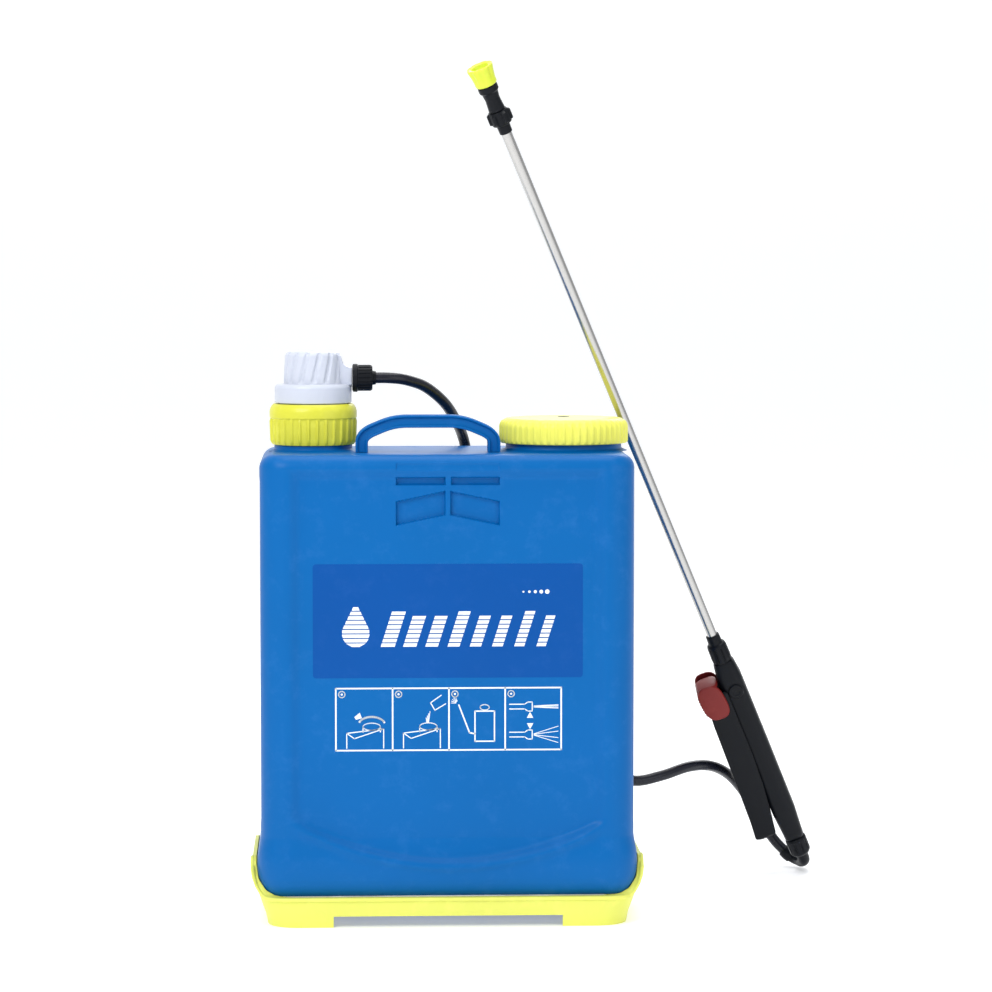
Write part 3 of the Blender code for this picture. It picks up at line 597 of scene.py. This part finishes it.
# two more stations on each leg
part_way = np.array([[0.3], [0.7]])
bail_line = np.vstack([bail_line[0], bail_line[0] + (bail_line[1] - bail_line[0]) * part_way, bail_line[1:-1],
                       bail_line[-2] + (bail_line[-1] - bail_line[-2]) * part_way, bail_line[-1]])
bail_path = np.array([here(x, -0.035, z) for x, z in bail_line])
beads = rounded([(0.0, 0.0044), (0.006, 0.0044), (0.0075, 0.006), (0.0108, 0.006), (0.0108, -0.0056),
                 (0.0075, -0.0056), (0.006, -0.0042), (-0.006, -0.0042), (-0.0075, -0.0056),
                 (-0.0108, -0.0056), (-0.0108, -0.0036), (-0.008, -0.003), (-0.008, 0.0032),
                 (-0.0108, 0.0039), (-0.0108, 0.006), (-0.0075, 0.006), (-0.006, 0.0044),
                 (0.0, 0.0044)], 0.0009, 4)[:-1]
finish(carried("carry_bail", bail_path, beads, (0, 1, 0)), "root", "tank_blue", tank_blue, "carry_handle")

# ---- the base's rolled rim ----
# The skirt's front edge is rolled over into a round bead that follows the rim round both front
# corners and up to the ears.
RIM_CORNER, RIM_FRONT, BEAD_RADIUS = 0.028, -0.0645, 0.0019
quarter, rim_side = np.linspace(0, math.pi / 2, 12), np.linspace(-0.052, RIM_FRONT, 8)
rim_angle = np.concatenate([np.full(8, math.pi), math.pi + quarter, np.full(20, 1.5 * math.pi),
                            1.5 * math.pi + quarter, np.full(8, 2 * math.pi)])
rim_sign = np.concatenate([np.full(20, -1.0), np.linspace(-0.98, 0.98, 20), np.full(20, 1.0)])
rim_back = np.concatenate([rim_side, np.full(44, RIM_FRONT), rim_side[::-1]])
rim_y = rim_back + RIM_CORNER * np.sin(rim_angle)
rim_z = 0.0264 + 0.034 * (1 + np.cos(np.pi * np.clip((-0.054 - rim_y) / 0.03, 0, 1))) / 2
# the skirt's wall leans out as it rises
wall_levels = [0.01, 0.028, 0.04, 0.052, 0.066]
rim_half = np.interp(rim_z, wall_levels, [0.169, 0.1752, 0.1795, 0.1812, 0.1812])
rim_out = np.interp(rim_z, wall_levels, [-0.003, 0.0, 0.0035, 0.004, 0.004])
rim_path = middle + np.stack([rim_sign * (rim_half - RIM_CORNER) + RIM_CORNER * np.cos(rim_angle),
                              rim_y - rim_out * (rim_back <= RIM_FRONT), rim_z], -1)
bead_turn = round_about(20)
finish(carried("rolled_rim", rim_path, BEAD_RADIUS * np.stack([np.cos(bead_turn), np.sin(bead_turn)], -1),
               (0, 0, 1)), "root", "base_yellow", base_yellow)

# ---- lance: hand valve, tube and nozzle ----
# A black nylon shut-off handle with a squeeze lever and a red lock, a stainless tube held by a
# gland nut, and a nozzle under a lime-yellow cap. All of it is built along the tube's own line.
foot = here(0.3631, 0.1956, 0.022)
top_of_lean = here(0.1718, 0.0385, 0.463)
up_lance = unit(top_of_lean - foot)
right_lance = unit(np.array([1.0, 0, 0]) - up_lance * up_lance[0])
back_lance = np.cross(up_lance, right_lance)
lance_axes = np.stack([right_lance, back_lance, up_lance])


def on_lance(points):
    """Points given as (right, back, along the tube), in the row frame."""
    return foot + np.asarray(points, float) @ lance_axes


def lance_turned(name, profile, segments=64, ripple=None):
    """Turn (radius, distance) pairs about the lance's own line."""
    return skin(name, on_lance(revolve(profile, segments, ripple)))


def superellipse(half_x, half_y, power, count=48, shift=0.0):
    """Closed section |x/a|^n + |y/b|^n = 1, walked by angle."""
    angle = round_about(count)
    c, s = np.cos(angle), np.sin(angle)
    return np.stack([half_x * np.sign(c) * np.abs(c) ** (2 / power) + shift,
                     half_y * np.sign(s) * np.abs(s) ** (2 / power)], -1)


# drawn stainless: fine streaks along the tube in both the colour and the roughness
steel, steel_tree, steel_shader = paint("lance_steel")
steel_spot = shader_node(steel_tree, "TexCoord", {}).outputs["Object"]
steel_line = shader_node(steel_tree, "Mapping", {"Scale": (900, 900, 30), "Vector": steel_spot})
streaks = shader_node(steel_tree, "TexNoise",
                      {"Detail": 4, "Vector": steel_line.outputs["Vector"]}).outputs["Fac"]
steel_rough = shader_node(steel_tree, "MapRange", {"To Min": 0.14, "To Max": 0.34, "Value": streaks})
steel_shade = shader_node(steel_tree, "Mix", {"Factor": streaks, "A": (0.4, 0.39, 0.38, 1),
                                              "B": (0.58, 0.57, 0.55, 1)}, data_type="RGBA")
fill_in(steel_shader, {"Metallic": 1.0, "Roughness": steel_rough.outputs["Result"],
                       "Base Color": steel_shade.outputs["Result"]})

tube_profile = [(0.0, 0.236), (0.005, 0.236), (0.005, 0.5), (0.005, 0.818), (0.0, 0.818)]
finish(lance_turned("tube", tube_profile, 48), "lance", "stainless", steel, "lance_tube")

grip_z = np.concatenate([[0.0176, 0.018, 0.02], np.linspace(0.026, 0.212, 60), [0.22, 0.227, 0.2296, 0.23]])
# the handle's half width along its length
grip_half = np.interp(grip_z, [0.0176, 0.02, 0.026, 0.05, 0.13, 0.212, 0.227, 0.23],
                      [0.0085, 0.0098, 0.01, 0.0118, 0.0122, 0.0122, 0.0105, 0.0092])
# a raised rail runs down the middle of each side of the handle
grip = []
for half, z in zip(grip_half, grip_z):
    ring = superellipse(half, half * 0.9, 3.6, 72)
    rail = 0.0005 * ease(-np.abs(ring[:, 0] - 0.003), -0.004, -0.003) * window(z, 0.045, 0.185, 0.005)
    ring[:, 1] += np.sign(ring[:, 1]) * rail
    grip.append(at_height(ring, z))
finish(skin("hand_valve", on_lance(np.array(grip))), "lance", "black_plastic", black, "wand_body")
boss_rings = np.array([(0.002, -0.0124), (0.0034, -0.0124), (0.004, -0.0128), (0.0068, -0.0127),
                       (0.0075, -0.0118), (0.0075, 0.0118), (0.0068, 0.0127), (0.004, 0.0128),
                       (0.0034, 0.0124), (0.002, 0.0124)])
boss_turn = round_about(48)
boss_points = np.stack([0.0016 + boss_rings[:, :1] * np.cos(boss_turn),
                        np.broadcast_to(boss_rings[:, 1:], (len(boss_rings), 48)),
                        0.1985 + boss_rings[:, :1] * np.sin(boss_turn)], -1)
finish(skin("pivot_boss", on_lance(boss_points)), "lance", "black_plastic", black)


def grips(count, depth, low, high):
    """Raised flats with grooves between, along a nut's grip."""
    def ripple(angle, run, radius):
        return -depth * ease(np.cos(count * angle), 0.45, 0.9) * window(run, low, high, 0.0008)
    return ripple


gland_profile = rounded([(0.0, 0.2303), (0.0094, 0.2303), (0.0099, 0.235), (0.0096, 0.247), (0.0088, 0.25),
                         (0.007, 0.2505), (0.0066, 0.26), (0.0052, 0.2602), (0.0, 0.2602)], 0.0008)
gland = lance_turned("gland", gland_profile, 120, grips(10, 0.0009, 0.233, 0.2475))
finish(gland, "lance", "black_plastic", black, "gland_nut")
foot_profile = rounded([(0.0, -0.003), (0.0082, -0.003), (0.0104, 0.0), (0.0106, 0.006), (0.0106, 0.007),
                        (0.0106, 0.015), (0.0092, 0.0172), (0.0, 0.0172)], 0.0008)
foot_nut = lance_turned("foot_nut", foot_profile, 120, grips(10, 0.001, 0.001, 0.0145))
finish(foot_nut, "lance", "black_plastic", black, "hose_nut")

elbow_knots = np.array([foot + up_lance * -0.0022, here(0.3674, 0.202, 0.0122), here(0.3668, 0.2125, 0.0084),
                        here(0.3646, 0.2205, 0.0082), here(0.3602, 0.2252, 0.0098),
                        here(0.356, 0.2262, 0.0122)])
elbow_path = smooth_route(elbow_knots, 6)
elbow_along = unit(np.gradient(elbow_path, axis=0))
elbow_side = unit(np.cross(elbow_along, (0, 0, 1.0)))
elbow_over = np.cross(elbow_side, elbow_along)
elbow_radius = np.interp(np.arange(len(elbow_path)), [0, 3, len(elbow_path) - 2, len(elbow_path) - 1],
                         [0.0066, 0.0061, 0.0061, 0.0056])


def hoops(centres, radii, side, over, count):
    """A circle of points about each centre, in the plane of side and over."""
    turn = round_about(count)[None, :, None]
    return centres[:, None] + radii[:, None, None] * (np.cos(turn) * side + np.sin(turn) * over)


elbow_points = hoops(elbow_path, elbow_radius, elbow_side[:, None], elbow_over[:, None], 32)
finish(skin("foot_elbow", elbow_points), "lance", "black_plastic", black, "hose_elbow")
# a ferrule on the elbow's end covers the cut end of the hose
ferrule_line = unit(hose_path[-3] - elbow_path[-1])
ferrule_side = unit(np.cross(ferrule_line, (0, 0, 1.0)))
ferrule = rounded([(0.0, -0.003), (0.0068, -0.003), (0.0071, 0.003), (0.0064, 0.0085), (0.0, 0.0085)], 0.001)
ferrule_points = hoops(elbow_path[-1] + ferrule[:, 1:] * ferrule_line, ferrule[:, 0], ferrule_side,
                       np.cross(ferrule_side, ferrule_line), 32)
finish(skin("elbow_ferrule", ferrule_points), "lance", "black_plastic", black)

# ---- trigger and its lock ----
# The squeeze lever is a channel that straddles the handle and turns on a pin near its top. A
# brownish-red slide round the lever's upper end locks it on.
LEVER_HALF, LEVER_INNER = 0.0138, 0.012
lever_z = np.concatenate([[0.0334, 0.0337, 0.0343, 0.0352, 0.0363, 0.0374], np.linspace(0.04, 0.198, 56),
                          [0.2003, 0.2009, 0.2018, 0.2025, 0.203]])
corner_round = 0.004 * (1 - np.sqrt(1 - (1 - np.clip((lever_z - 0.0334) / 0.004, 0, 1)) ** 2))
lever_stations = [0.033, 0.055, 0.09, 0.13, 0.17, 0.2, 0.213]
low_edge = np.interp(lever_z, lever_stations,
                     [-0.0366, -0.0348, -0.0337, -0.0327, -0.0317, -0.0299, -0.0294]) + corner_round
high_edge = np.interp(lever_z, lever_stations,
                      [-0.0152, -0.0124, -0.0087, -0.0067, -0.0067, -0.0067, -0.0092]) - corner_round
# the channel is closed above the pin by a crown
web_edge = np.where(lever_z > 0.2005, -0.0139, low_edge + 0.0042)
tuck = 0.0014 * (1 - ease(lever_z, 0.0334, 0.036)) + 0.0014 * ease(lever_z, 0.2009, 0.2032)
lever_rows = []
for z, low, high, web, dip in zip(lever_z, low_edge, high_edge, web_edge, tuck):
    wide, top, centre = LEVER_HALF - dip, high - dip, (low + high) / 2
    outline = rounded([(centre, -wide), (top, -wide), (top, -LEVER_INNER), (web, -LEVER_INNER),
                       (web, LEVER_INNER), (top, LEVER_INNER), (top, wide), (low + dip, wide),
                       (low + dip, -wide), (centre, -wide)], 0.0012, 4)[:-1]
    lever_rows.append(at_height(outline, z))
lever_skin = skin("squeeze_lever", on_lance(np.array(lever_rows)), caps=False)
faces_out(lever_skin.data, close=True)
lever_skin.data.set_sharp_from_angle(angle=math.radians(35))
finish(lever_skin, "trigger", "black_plastic", black, "trigger_lever")

latch_red = plastic("latch_red", (0.2, 0.012, 0.01), 0.42, grain=800, wear=0.5, bump=0.1)
# the lock's side face is a rounded pebble, wide at the top; the two faces join round the outside
LOCK_X, LOCK_Z, LOCK_HALF_X, LOCK_HALF_Z, LOCK_LEAN = -0.0228, 0.1972, 0.0125, 0.0193, 0.0016
lock_turn = round_about(64)
lock_up = np.sign(np.sin(lock_turn)) * np.abs(np.sin(lock_turn)) ** 0.74
lock_wide = LOCK_HALF_X * np.sign(np.cos(lock_turn)) * np.abs(np.cos(lock_turn)) ** 0.66 - LOCK_LEAN * lock_up
lock_rings = [np.stack([LOCK_X + lock_wide * (1 - inset / LOCK_HALF_X), np.full(64, side),
                        LOCK_Z + lock_up * (LOCK_HALF_Z - inset)], -1)
              for side, inset in ((-0.0146, 0.0), (-0.0162, 0.0), (-0.0174, 0.0008), (-0.0178, 0.0022))]
for flip, word in ((1, "front"), (-1, "back")):
    cheek = np.array(lock_rings) * np.array([1, flip, 1])
    finish(skin("lock_cheek_" + word, on_lance(cheek)), "latch", "latch_red", latch_red)
# the ribbed thumb piece follows the pebble's outer edge from cheek to cheek
thumb_rows = []
for z in np.linspace(0.1852, 0.2125, 36):
    up = (z - LOCK_Z) / LOCK_HALF_Z
    out = min(-0.0333, LOCK_X - 0.0002 - LOCK_HALF_X * (1 - abs(up) ** 2.7) ** 0.33 - LOCK_LEAN * up)
    out += 0.0003 * math.cos(z * 2 * math.pi / 0.0032)
    far = float(np.interp(z, [0.2, 0.2125], [0.0172, 0.0095]))
    outline = rounded([(-0.0326, -0.015), (-0.0326, far - 0.0022), (-0.0328, far + 0.0002), (out, far),
                       (out, -0.0172), (-0.0328, -0.0174), (-0.0326, -0.015)], 0.001, 4)[:-1]
    thumb_rows.append(at_height(outline, z))
crown_rows = []
for z, grow in ((0.2113, 0.97), (0.2117, 1.0), (0.2132, 0.99), (0.2144, 0.93), (0.215, 0.8)):
    oval = superellipse(0.0107 * grow, 0.0132 * grow, 3.2, 48, -0.0235)
    crown_rows.append(at_height(oval + (0, -0.0038), z))
finish(skin("lock_crown", on_lance(np.array(crown_rows))), "latch", "latch_red", latch_red)
finish(skin("lock_thumb_piece", on_lance(np.array(thumb_rows))), "latch", "latch_red", latch_red,
       "trigger_latch")

# ---- nozzle ----
# A winged black nut over the tube's end, a waisted black body, and a flared lime-yellow cap whose
# skirt is lobed for the fingers.


def wings(angle, run, radius):
    """Six lugs round the nut."""
    return 0.0022 * ease(np.cos(6 * angle), 0.0, 0.8) * window(run, 0.8255, 0.8368, 0.0013)


lugged_profile = rounded([(0.0, 0.815), (0.0061, 0.815), (0.0063, 0.8235), (0.0092, 0.8245), (0.0093, 0.8262),
                          (0.0093, 0.8275), (0.0093, 0.835), (0.009, 0.8378), (0.0, 0.838)], 0.0006)
lugged_nut = lance_turned("lugged_nut", lugged_profile, 96, wings)
finish(lugged_nut, "lance", "black_plastic", black, "nozzle_nut")
waist_profile = rounded([(0.0, 0.8383), (0.0079, 0.8383), (0.0074, 0.843), (0.0069, 0.85), (0.0078, 0.8565),
                         (0.0094, 0.8582), (0.0094, 0.8632), (0.0088, 0.864), (0.0, 0.864)], 0.0008)
finish(lance_turned("nozzle_waist", waist_profile, 64), "lance", "black_plastic", black, "nozzle_body")


def lobes(angle, run, radius):
    """Eight soft lobes that deepen towards the flared rim."""
    fade = ease(run, 0.865, 0.876) * ease(radius, 0.0095, 0.0104)
    return -0.0009 * ease(np.cos(8 * angle), 0.0, 1.0) * fade


lime = plastic("nozzle_lime", (0.64, 0.73, 0.045), 0.3, grain=450, wear=0.25, bump=0.05, coat=0.15, glow=0.08)
cone_profile = rounded([(0.0, 0.8643), (0.0098, 0.8643), (0.0104, 0.866), (0.0105, 0.87), (0.0111, 0.8745),
                        (0.0124, 0.8805), (0.0125, 0.8826), (0.0118, 0.883), (0.008, 0.8822),
                        (0.0072, 0.8785), (0.002, 0.878), (0.0011, 0.8785), (0.0008, 0.874), (0.0, 0.874)],
                       0.0007)
finish(lance_turned("cone_cap", cone_profile, 96, lobes), "nozzle", "nozzle_lime", lime, "nozzle_cap")

# ---- printing on the front ----
# A darker blue panel with an abstract striped mark, a gauge row of dots, and a strip of four small
# white drawings: turn the lid, fill, spray, and set the nozzle. Each is ink film a fraction proud.
FILM_Y, FILM_THICK = -(HALF_Y - DISH), 0.0001
PANEL_LIFT, DRAWING_LIFT, MARK_LIFT = 0.00005, 0.00006, 0.00016


def film(name, shapes, lift, ink):
    """Thin closed slabs: each flat outline of (x, z) points is set at two depths and walled round."""
    outlines = [np.asarray(shape, float) for shape in shapes]
    counts = [len(shape) for shape in outlines]
    starts = 2 * np.concatenate([[0], np.cumsum(counts)[:-1]])
    flat = np.vstack([np.vstack([shape, shape]) for shape in outlines])
    depth = np.concatenate([np.repeat([lift, lift - FILM_THICK], count) for count in counts])
    vertices = np.stack([flat[:, 0], FILM_Y - depth, flat[:, 1]], -1) + middle
    faces = []
    for first, count in zip(starts, counts):
        i = np.arange(count)
        after = (i + 1) % count
        faces += [(first + i).tolist(), (first + count + i[::-1]).tolist()]
        faces += np.stack([first + i, first + count + i, first + count + after, first + after], -1).tolist()
    mesh = bpy.data.meshes.new(name)
    mesh.from_pydata(vertices.tolist(), [], faces)
    faces_out(mesh)
    return finish(mesh_object(name, mesh), "root", "tank_blue", ink)


def line(points, width=0.0009):
    """A drawn line as one quad for each straight run."""
    quads = []
    points = np.asarray(points, float)
    for a, b in zip(points, points[1:]):
        along = unit(b - a)
        across = np.array([-along[1], along[0]]) * width / 2
        reach = along * width / 4
        quads.append([a - across - reach, b - across + reach, b + across + reach, a + across - reach])
    return quads


def arc(x, z, radius, start, stop, count=14, squash=1.0):
    """Points round part of a circle or a flattened one, angles in degrees."""
    angle = np.radians(np.linspace(start, stop, count))
    return np.stack([x + radius * np.cos(angle), z + radius * squash * np.sin(angle)], -1)


ink_blue = plastic("label_blue", (0.0003, 0.072, 0.312), 0.34, grain=300, wear=0.12, bump=0.02, shine=0.13)
ink_white = plastic("ink_white", (0.8, 0.84, 0.86), 0.45, grain=700, wear=0.5, bump=0.02)
panel = np.vstack([arc(sx * 0.1215, z, 0.003, start, start + 90, 6) for sx, z, start in
                   ((1, 0.3335, 0), (-1, 0.3335, 90), (-1, 0.234, 180), (1, 0.234, 270))])
film("label_panel", [panel], PANEL_LIFT, ink_blue)

marks = []
DROP_X, BAND_HEIGHT, BAR_LEAN = -0.085, 0.0032, 0.32
for low in 0.26 + np.arange(9) * 0.0042:
    high = low + BAND_HEIGHT
    # a drop on the left, narrowing to its point
    wide, tip = [0.0125 * math.sqrt(max(0.0, 1 - ((z - 0.2725) / 0.013) ** 2)) if z < 0.2765
                 else max(0.0, 0.012 * (0.301 - z) / 0.0245) for z in (low, high)]
    if max(wide, tip) > 0.001:
        marks.append([(DROP_X - wide, low), (DROP_X + wide, low), (DROP_X + tip + 0.0003, high),
                      (DROP_X - tip - 0.0003, high)])
    # leaning bars that shorten to the right, like jets from a nozzle
    for i in range(8):
        left, width, crest = -0.062 + 0.0205 * i, 0.0128 - 0.0006 * i, 0.2935 - 0.0022 * (i % 3)
        if high < crest:
            foot_x, head_x = left + (low - 0.26) * BAR_LEAN, left + (high - 0.26) * BAR_LEAN
            marks.append([(foot_x, low), (foot_x + width, low), (head_x + width, high), (head_x, high)])
film("striped_mark", marks, MARK_LIFT, ink_white)
film("gauge_dots", [arc(0.0695 + 0.0055 * i, 0.3105, 0.0009 + 0.0003 * i, 0, 330, 12) for i in range(5)],
     MARK_LIFT, ink_white)

left, right, low, high = -0.1035, 0.1045, 0.164, 0.2215
cells = [left, -0.0512, 0.0008, 0.0527, right]
drawing = []
for z in (low, high):
    drawing += line([(left, z), (right, z)], 0.0014)
for x in cells:
    drawing += line([(x, low), (x, high)], 0.0014)
for x in cells[:-1]:
    drawing += line(arc(x + 0.0055, high - 0.0055, 0.0029, 0, 360, 17), 0.001)
    drawing.append(arc(x + 0.0055, high - 0.0055, 0.001, 0, 330, 12))


def tank_sketch(x, z):
    """A tank seen from above its shoulder, with a neck."""
    return (line([(x - 0.017, z - 0.014), (x - 0.017, z), (x + 0.017, z + 0.004), (x + 0.017, z - 0.014)])
            + line([(x - 0.017, z), (x - 0.01, z - 0.005), (x + 0.017, z + 0.004)])
            + line(arc(x + 0.006, z + 0.006, 0.008, 0, 360, 25, 0.42))
            + line([(x - 0.002, z + 0.006), (x - 0.002, z + 0.001)])
            + line([(x + 0.014, z + 0.006), (x + 0.014, z + 0.001)]))


turn_x = cells[0] + 0.027
drawing += tank_sketch(turn_x, 0.18)
drawing += line(arc(turn_x + 0.006, 0.187, 0.0125, 20, 155, 16, 0.65), 0.0018)
drawing.append([(turn_x - 0.0085, 0.1925), (turn_x - 0.003, 0.194), (turn_x - 0.005, 0.199),
                (turn_x - 0.01, 0.195)])
fill_x = cells[1] + 0.027
drawing += tank_sketch(fill_x, 0.18)
drawing += line([(fill_x + 0.018, 0.215), (fill_x + 0.008, 0.208), (fill_x + 0.012, 0.201),
                 (fill_x + 0.022, 0.207)])
for i in range(4):
    drawing += line([(fill_x + 0.0075 - 0.0012 * i, 0.2 - 0.002 * i), (fill_x + 0.0062 - 0.0006 * i, 0.19)],
                    0.0006)
spray_x = cells[2] + 0.03
drawing += line([(spray_x - 0.006, 0.172), (spray_x - 0.006, 0.2), (spray_x + 0.012, 0.2),
                 (spray_x + 0.012, 0.172), (spray_x - 0.006, 0.172)], 0.0012)
drawing += line(arc(spray_x + 0.003, 0.2035, 0.0042, 0, 360, 17, 0.6))
drawing += line([(spray_x - 0.006, 0.179), (spray_x - 0.011, 0.18), (spray_x - 0.021, 0.206)], 0.0013)
for i in range(5):
    fan = math.radians(115 + 16 * i)
    drawing += line([(spray_x - 0.0215 + 0.002 * math.cos(fan), 0.2075 + 0.002 * math.sin(fan)),
                     (spray_x - 0.0215 + 0.0065 * math.cos(fan), 0.2075 + 0.0065 * math.sin(fan))], 0.0006)
set_x = cells[3] + 0.008
for z, spread in ((0.204, 0.001), (0.178, 0.007)):
    drawing += line([(set_x - 0.004, z + 0.0022), (set_x + 0.01, z + 0.0022), (set_x + 0.013, z + 0.0042),
                     (set_x + 0.017, z + 0.0042), (set_x + 0.017, z - 0.0042), (set_x + 0.013, z - 0.0042),
                     (set_x + 0.01, z - 0.0022), (set_x - 0.004, z - 0.0022)], 0.0009)
    for k in (-1, -0.4, 0.4, 1):
        drawing += line([(set_x + 0.0185, z + 0.0006 * k), (set_x + 0.041, z + (0.0006 + spread) * k)],
                        0.0006)
for z, tip in ((0.1935, 0.199), (0.1885, 0.183)):
    drawing.append([(set_x + 0.012, z), (set_x + 0.018, z), (set_x + 0.015, tip)])
film("four_drawings", drawing, DRAWING_LIFT, ink_white)

# ---- back: shoulder straps ----
# Two padded shoulder straps of black woven cloth, sewn round the edge and quilted across, hang
# from blocks at the tank's top and run down webbing tails to hooks on the base.


def weave_effect():
    """Plain weave: bands across times bands down at the thread's pitch, with dust over them."""
    tree, given, result = effect("plain_weave", [("Colour", "NodeSocketColor", (1, 1, 1, 1)),
                                                 ("Threads", "NodeSocketFloat", 200.0)],
                                 [("Colour", "NodeSocketColor"), ("Height", "NodeSocketFloat")])
    spot = shader_node(tree, "TexCoord", {}).outputs["Object"]
    across, down = [shader_node(tree, "TexWave", {"Scale": given.outputs["Threads"], "Vector": spot},
                                bands_direction=way).outputs["Fac"] for way in "XZ"]
    over = shader_node(tree, "Math", {0: across, 1: down}, operation="MULTIPLY").outputs[0]
    dust = shader_node(tree, "TexNoise", {"Scale": 70, "Detail": 6, "Vector": spot})
    level = shader_node(tree, "Math", {0: over, 1: 0.5, 2: dust.outputs["Fac"]}, operation="MULTIPLY_ADD")
    dark, light = [shader_node(tree, "HueSaturation", {"Value": value, "Color": given.outputs["Colour"]}
                               ).outputs["Color"] for value in (0.5, 1.7)]
    shade = shader_node(tree, "Mix", {"Factor": level.outputs[0], "A": dark, "B": light}, data_type="RGBA")
    fill_in(result, {"Colour": shade.outputs["Result"], "Height": over})
    return tree


weave = weave_effect()


def woven(name, colour, threads, lift):
    """Cloth in the plain weave, with a soft sheen."""
    made, tree, shader = paint(name)
    surface = shader_node(tree, "Group", {"Colour": (*colour, 1), "Threads": threads}, node_tree=weave)
    relief = shader_node(tree, "Bump", {"Strength": lift, "Distance": 0.0004,
                                        "Height": surface.outputs["Height"]})
    fill_in(shader, {"Base Color": surface.outputs["Colour"], "Normal": relief.outputs["Normal"],
                     "Roughness": 0.88, "Sheen Weight": 0.15})
    return made


cloth = woven("strap_cloth", (0.018, 0.019, 0.024), 160, 0.5)
webbing = woven("strap_webbing", (0.014, 0.014, 0.018), 240, 0.8)
STRAP_X = 0.075


def pad_line(x, s):
    """The strap's bow behind the tank: s runs 0 to 1 down it."""
    return here(x, 0, 0) + np.stack([0 * s, 0.104 + 0.05 * np.sin(math.pi * s), 0.4 - 0.23 * s], -1)


for side, word in ((-STRAP_X, "left"), (STRAP_X, "right")):
    s = np.linspace(0, 1, 150)
    pad_section = superellipse(0.0212, 0.005, 2.8, 56)
    quilt = 0.0011 * np.abs(np.cos(s * 9 * math.pi)) ** 0.35 - 0.0011
    end_tuck = window(s, -0.002, 1.002, 0.014)
    sections = np.broadcast_to(pad_section, (len(s),) + pad_section.shape).copy()
    flatness = ease(-np.abs(sections[..., 0]), -0.02, -0.015)
    sections[..., 1] *= (0.75 + 0.25 * end_tuck)[:, None]
    sections[..., 1] += np.sign(sections[..., 1]) * quilt[:, None] * flatness
    rim = (np.abs(np.abs(sections[..., 0]) - 0.0165) < 0.0009) * 0.0006
    sections[..., 1] -= np.sign(sections[..., 1]) * rim
    pad = carried("shoulder_pad_" + word, pad_line(side, s), sections, (1, 0, 0))
    finish(pad, "root", "strap_fabric", cloth, "strap_pad_" + word)
    web_knots = np.array([here(side, y, z) for y, z in ((0.103, 0.1515), (0.106, 0.11),
                                                        (0.103, 0.065), (0.0985, 0.024))])
    web_section = rounded([(0.0, -0.0011), (0.0126, -0.0011), (0.0126, 0.0011), (-0.0126, 0.0011),
                           (-0.0126, -0.0011), (0.0, -0.0011)], 0.0008, 4)[:-1]
    tail = carried("strap_tail_" + word, smooth_route(web_knots, 10), web_section, (1, 0, 0))
    finish(tail, "root", "strap_fabric", webbing, "strap_web_" + word)
    # an outer keeper band stitched across the pad, where the webbing passes under it
    for place_at in (0.18, 0.82):
        band = carried("pad_band_%s_%d" % (word, round(place_at * 100)),
                       pad_line(side, np.linspace(place_at - 0.03, place_at + 0.03, 10)),
                       superellipse(0.0217, 0.0058, 4, 40), (1, 0, 0))
        finish(band, "root", "strap_fabric", webbing)

# ---- lever and its drive ----
# A bent steel lever swings the cross shaft in its bushes; a crank on the shaft works the pump rod.
# The lever ends in a ribbed black grip.
SHAFT_Y, SHAFT_Z = 0.05, 0.037
# the grip lies along the arm's last straight, both measured from the cross shaft
grip_foot = here(-0.149, SHAFT_Y + 0.24, SHAFT_Z + 0.1235)
arm_line = unit(np.array([0, 0.24 - 0.15, 0.1235 - 0.048]))
arm_side = np.array([1.0, 0, 0])
grip_run = np.linspace(-0.0815, 0.012, 120)
# a swelling and a waist along the grip, with fine rings cut round it
grip_rings = 0.0006 * (np.cos(grip_run * 2 * math.pi / 0.0055) > 0.2)
grip_radius = 0.0122 + 0.0012 * np.cos((grip_run + 0.035) * math.pi / 0.045) - grip_rings
grip_profile = np.vstack([[(0.0, -0.082), (0.0108, -0.082)],
                          np.column_stack([np.minimum(grip_radius, 0.0134), grip_run]),
                          [(0.0122, 0.0145), (0.0098, 0.0175), (0.0, 0.018)]])
grip_points = hoops(grip_foot + grip_profile[:, 1:] * arm_line, grip_profile[:, 0], arm_side,
                    np.cross(arm_line, arm_side), 64)
finish(skin("lever_handgrip", grip_points), "drive", "black_plastic", black, "lever_grip")

# ---- hardware and inner pieces ----
# Strap hardware, shaft, crank, rod and the pump's inner pieces keep the shape they have, and take
# the finish named for them in the record.
seal_rubber = plastic("seal_rubber", (0.015, 0.015, 0.015), 0.7, grain=600)
by_slot = {"tank_blue": tank_blue, "base_yellow": base_yellow, "yellow_plastic": moulded_yellow,
           "head_white": head_white, "black_plastic": black, "black_rubber": seal_rubber, "stainless": steel,
           "strap_fabric": webbing, "latch_red": latch_red, "nozzle_lime": lime, "hose_black": hose_black}
for entry in frame["record"]["subparts"]:
    node = frame["nodes"][entry["node"]]
    node.data.materials.clear()
    node.data.materials.append(by_slot[entry["material_slot"]])

bpy.context.scene.view_settings.view_transform = "Standard"
size = {"cad": cad_box, "visual": [[float(value) for value in corner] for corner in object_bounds()]}
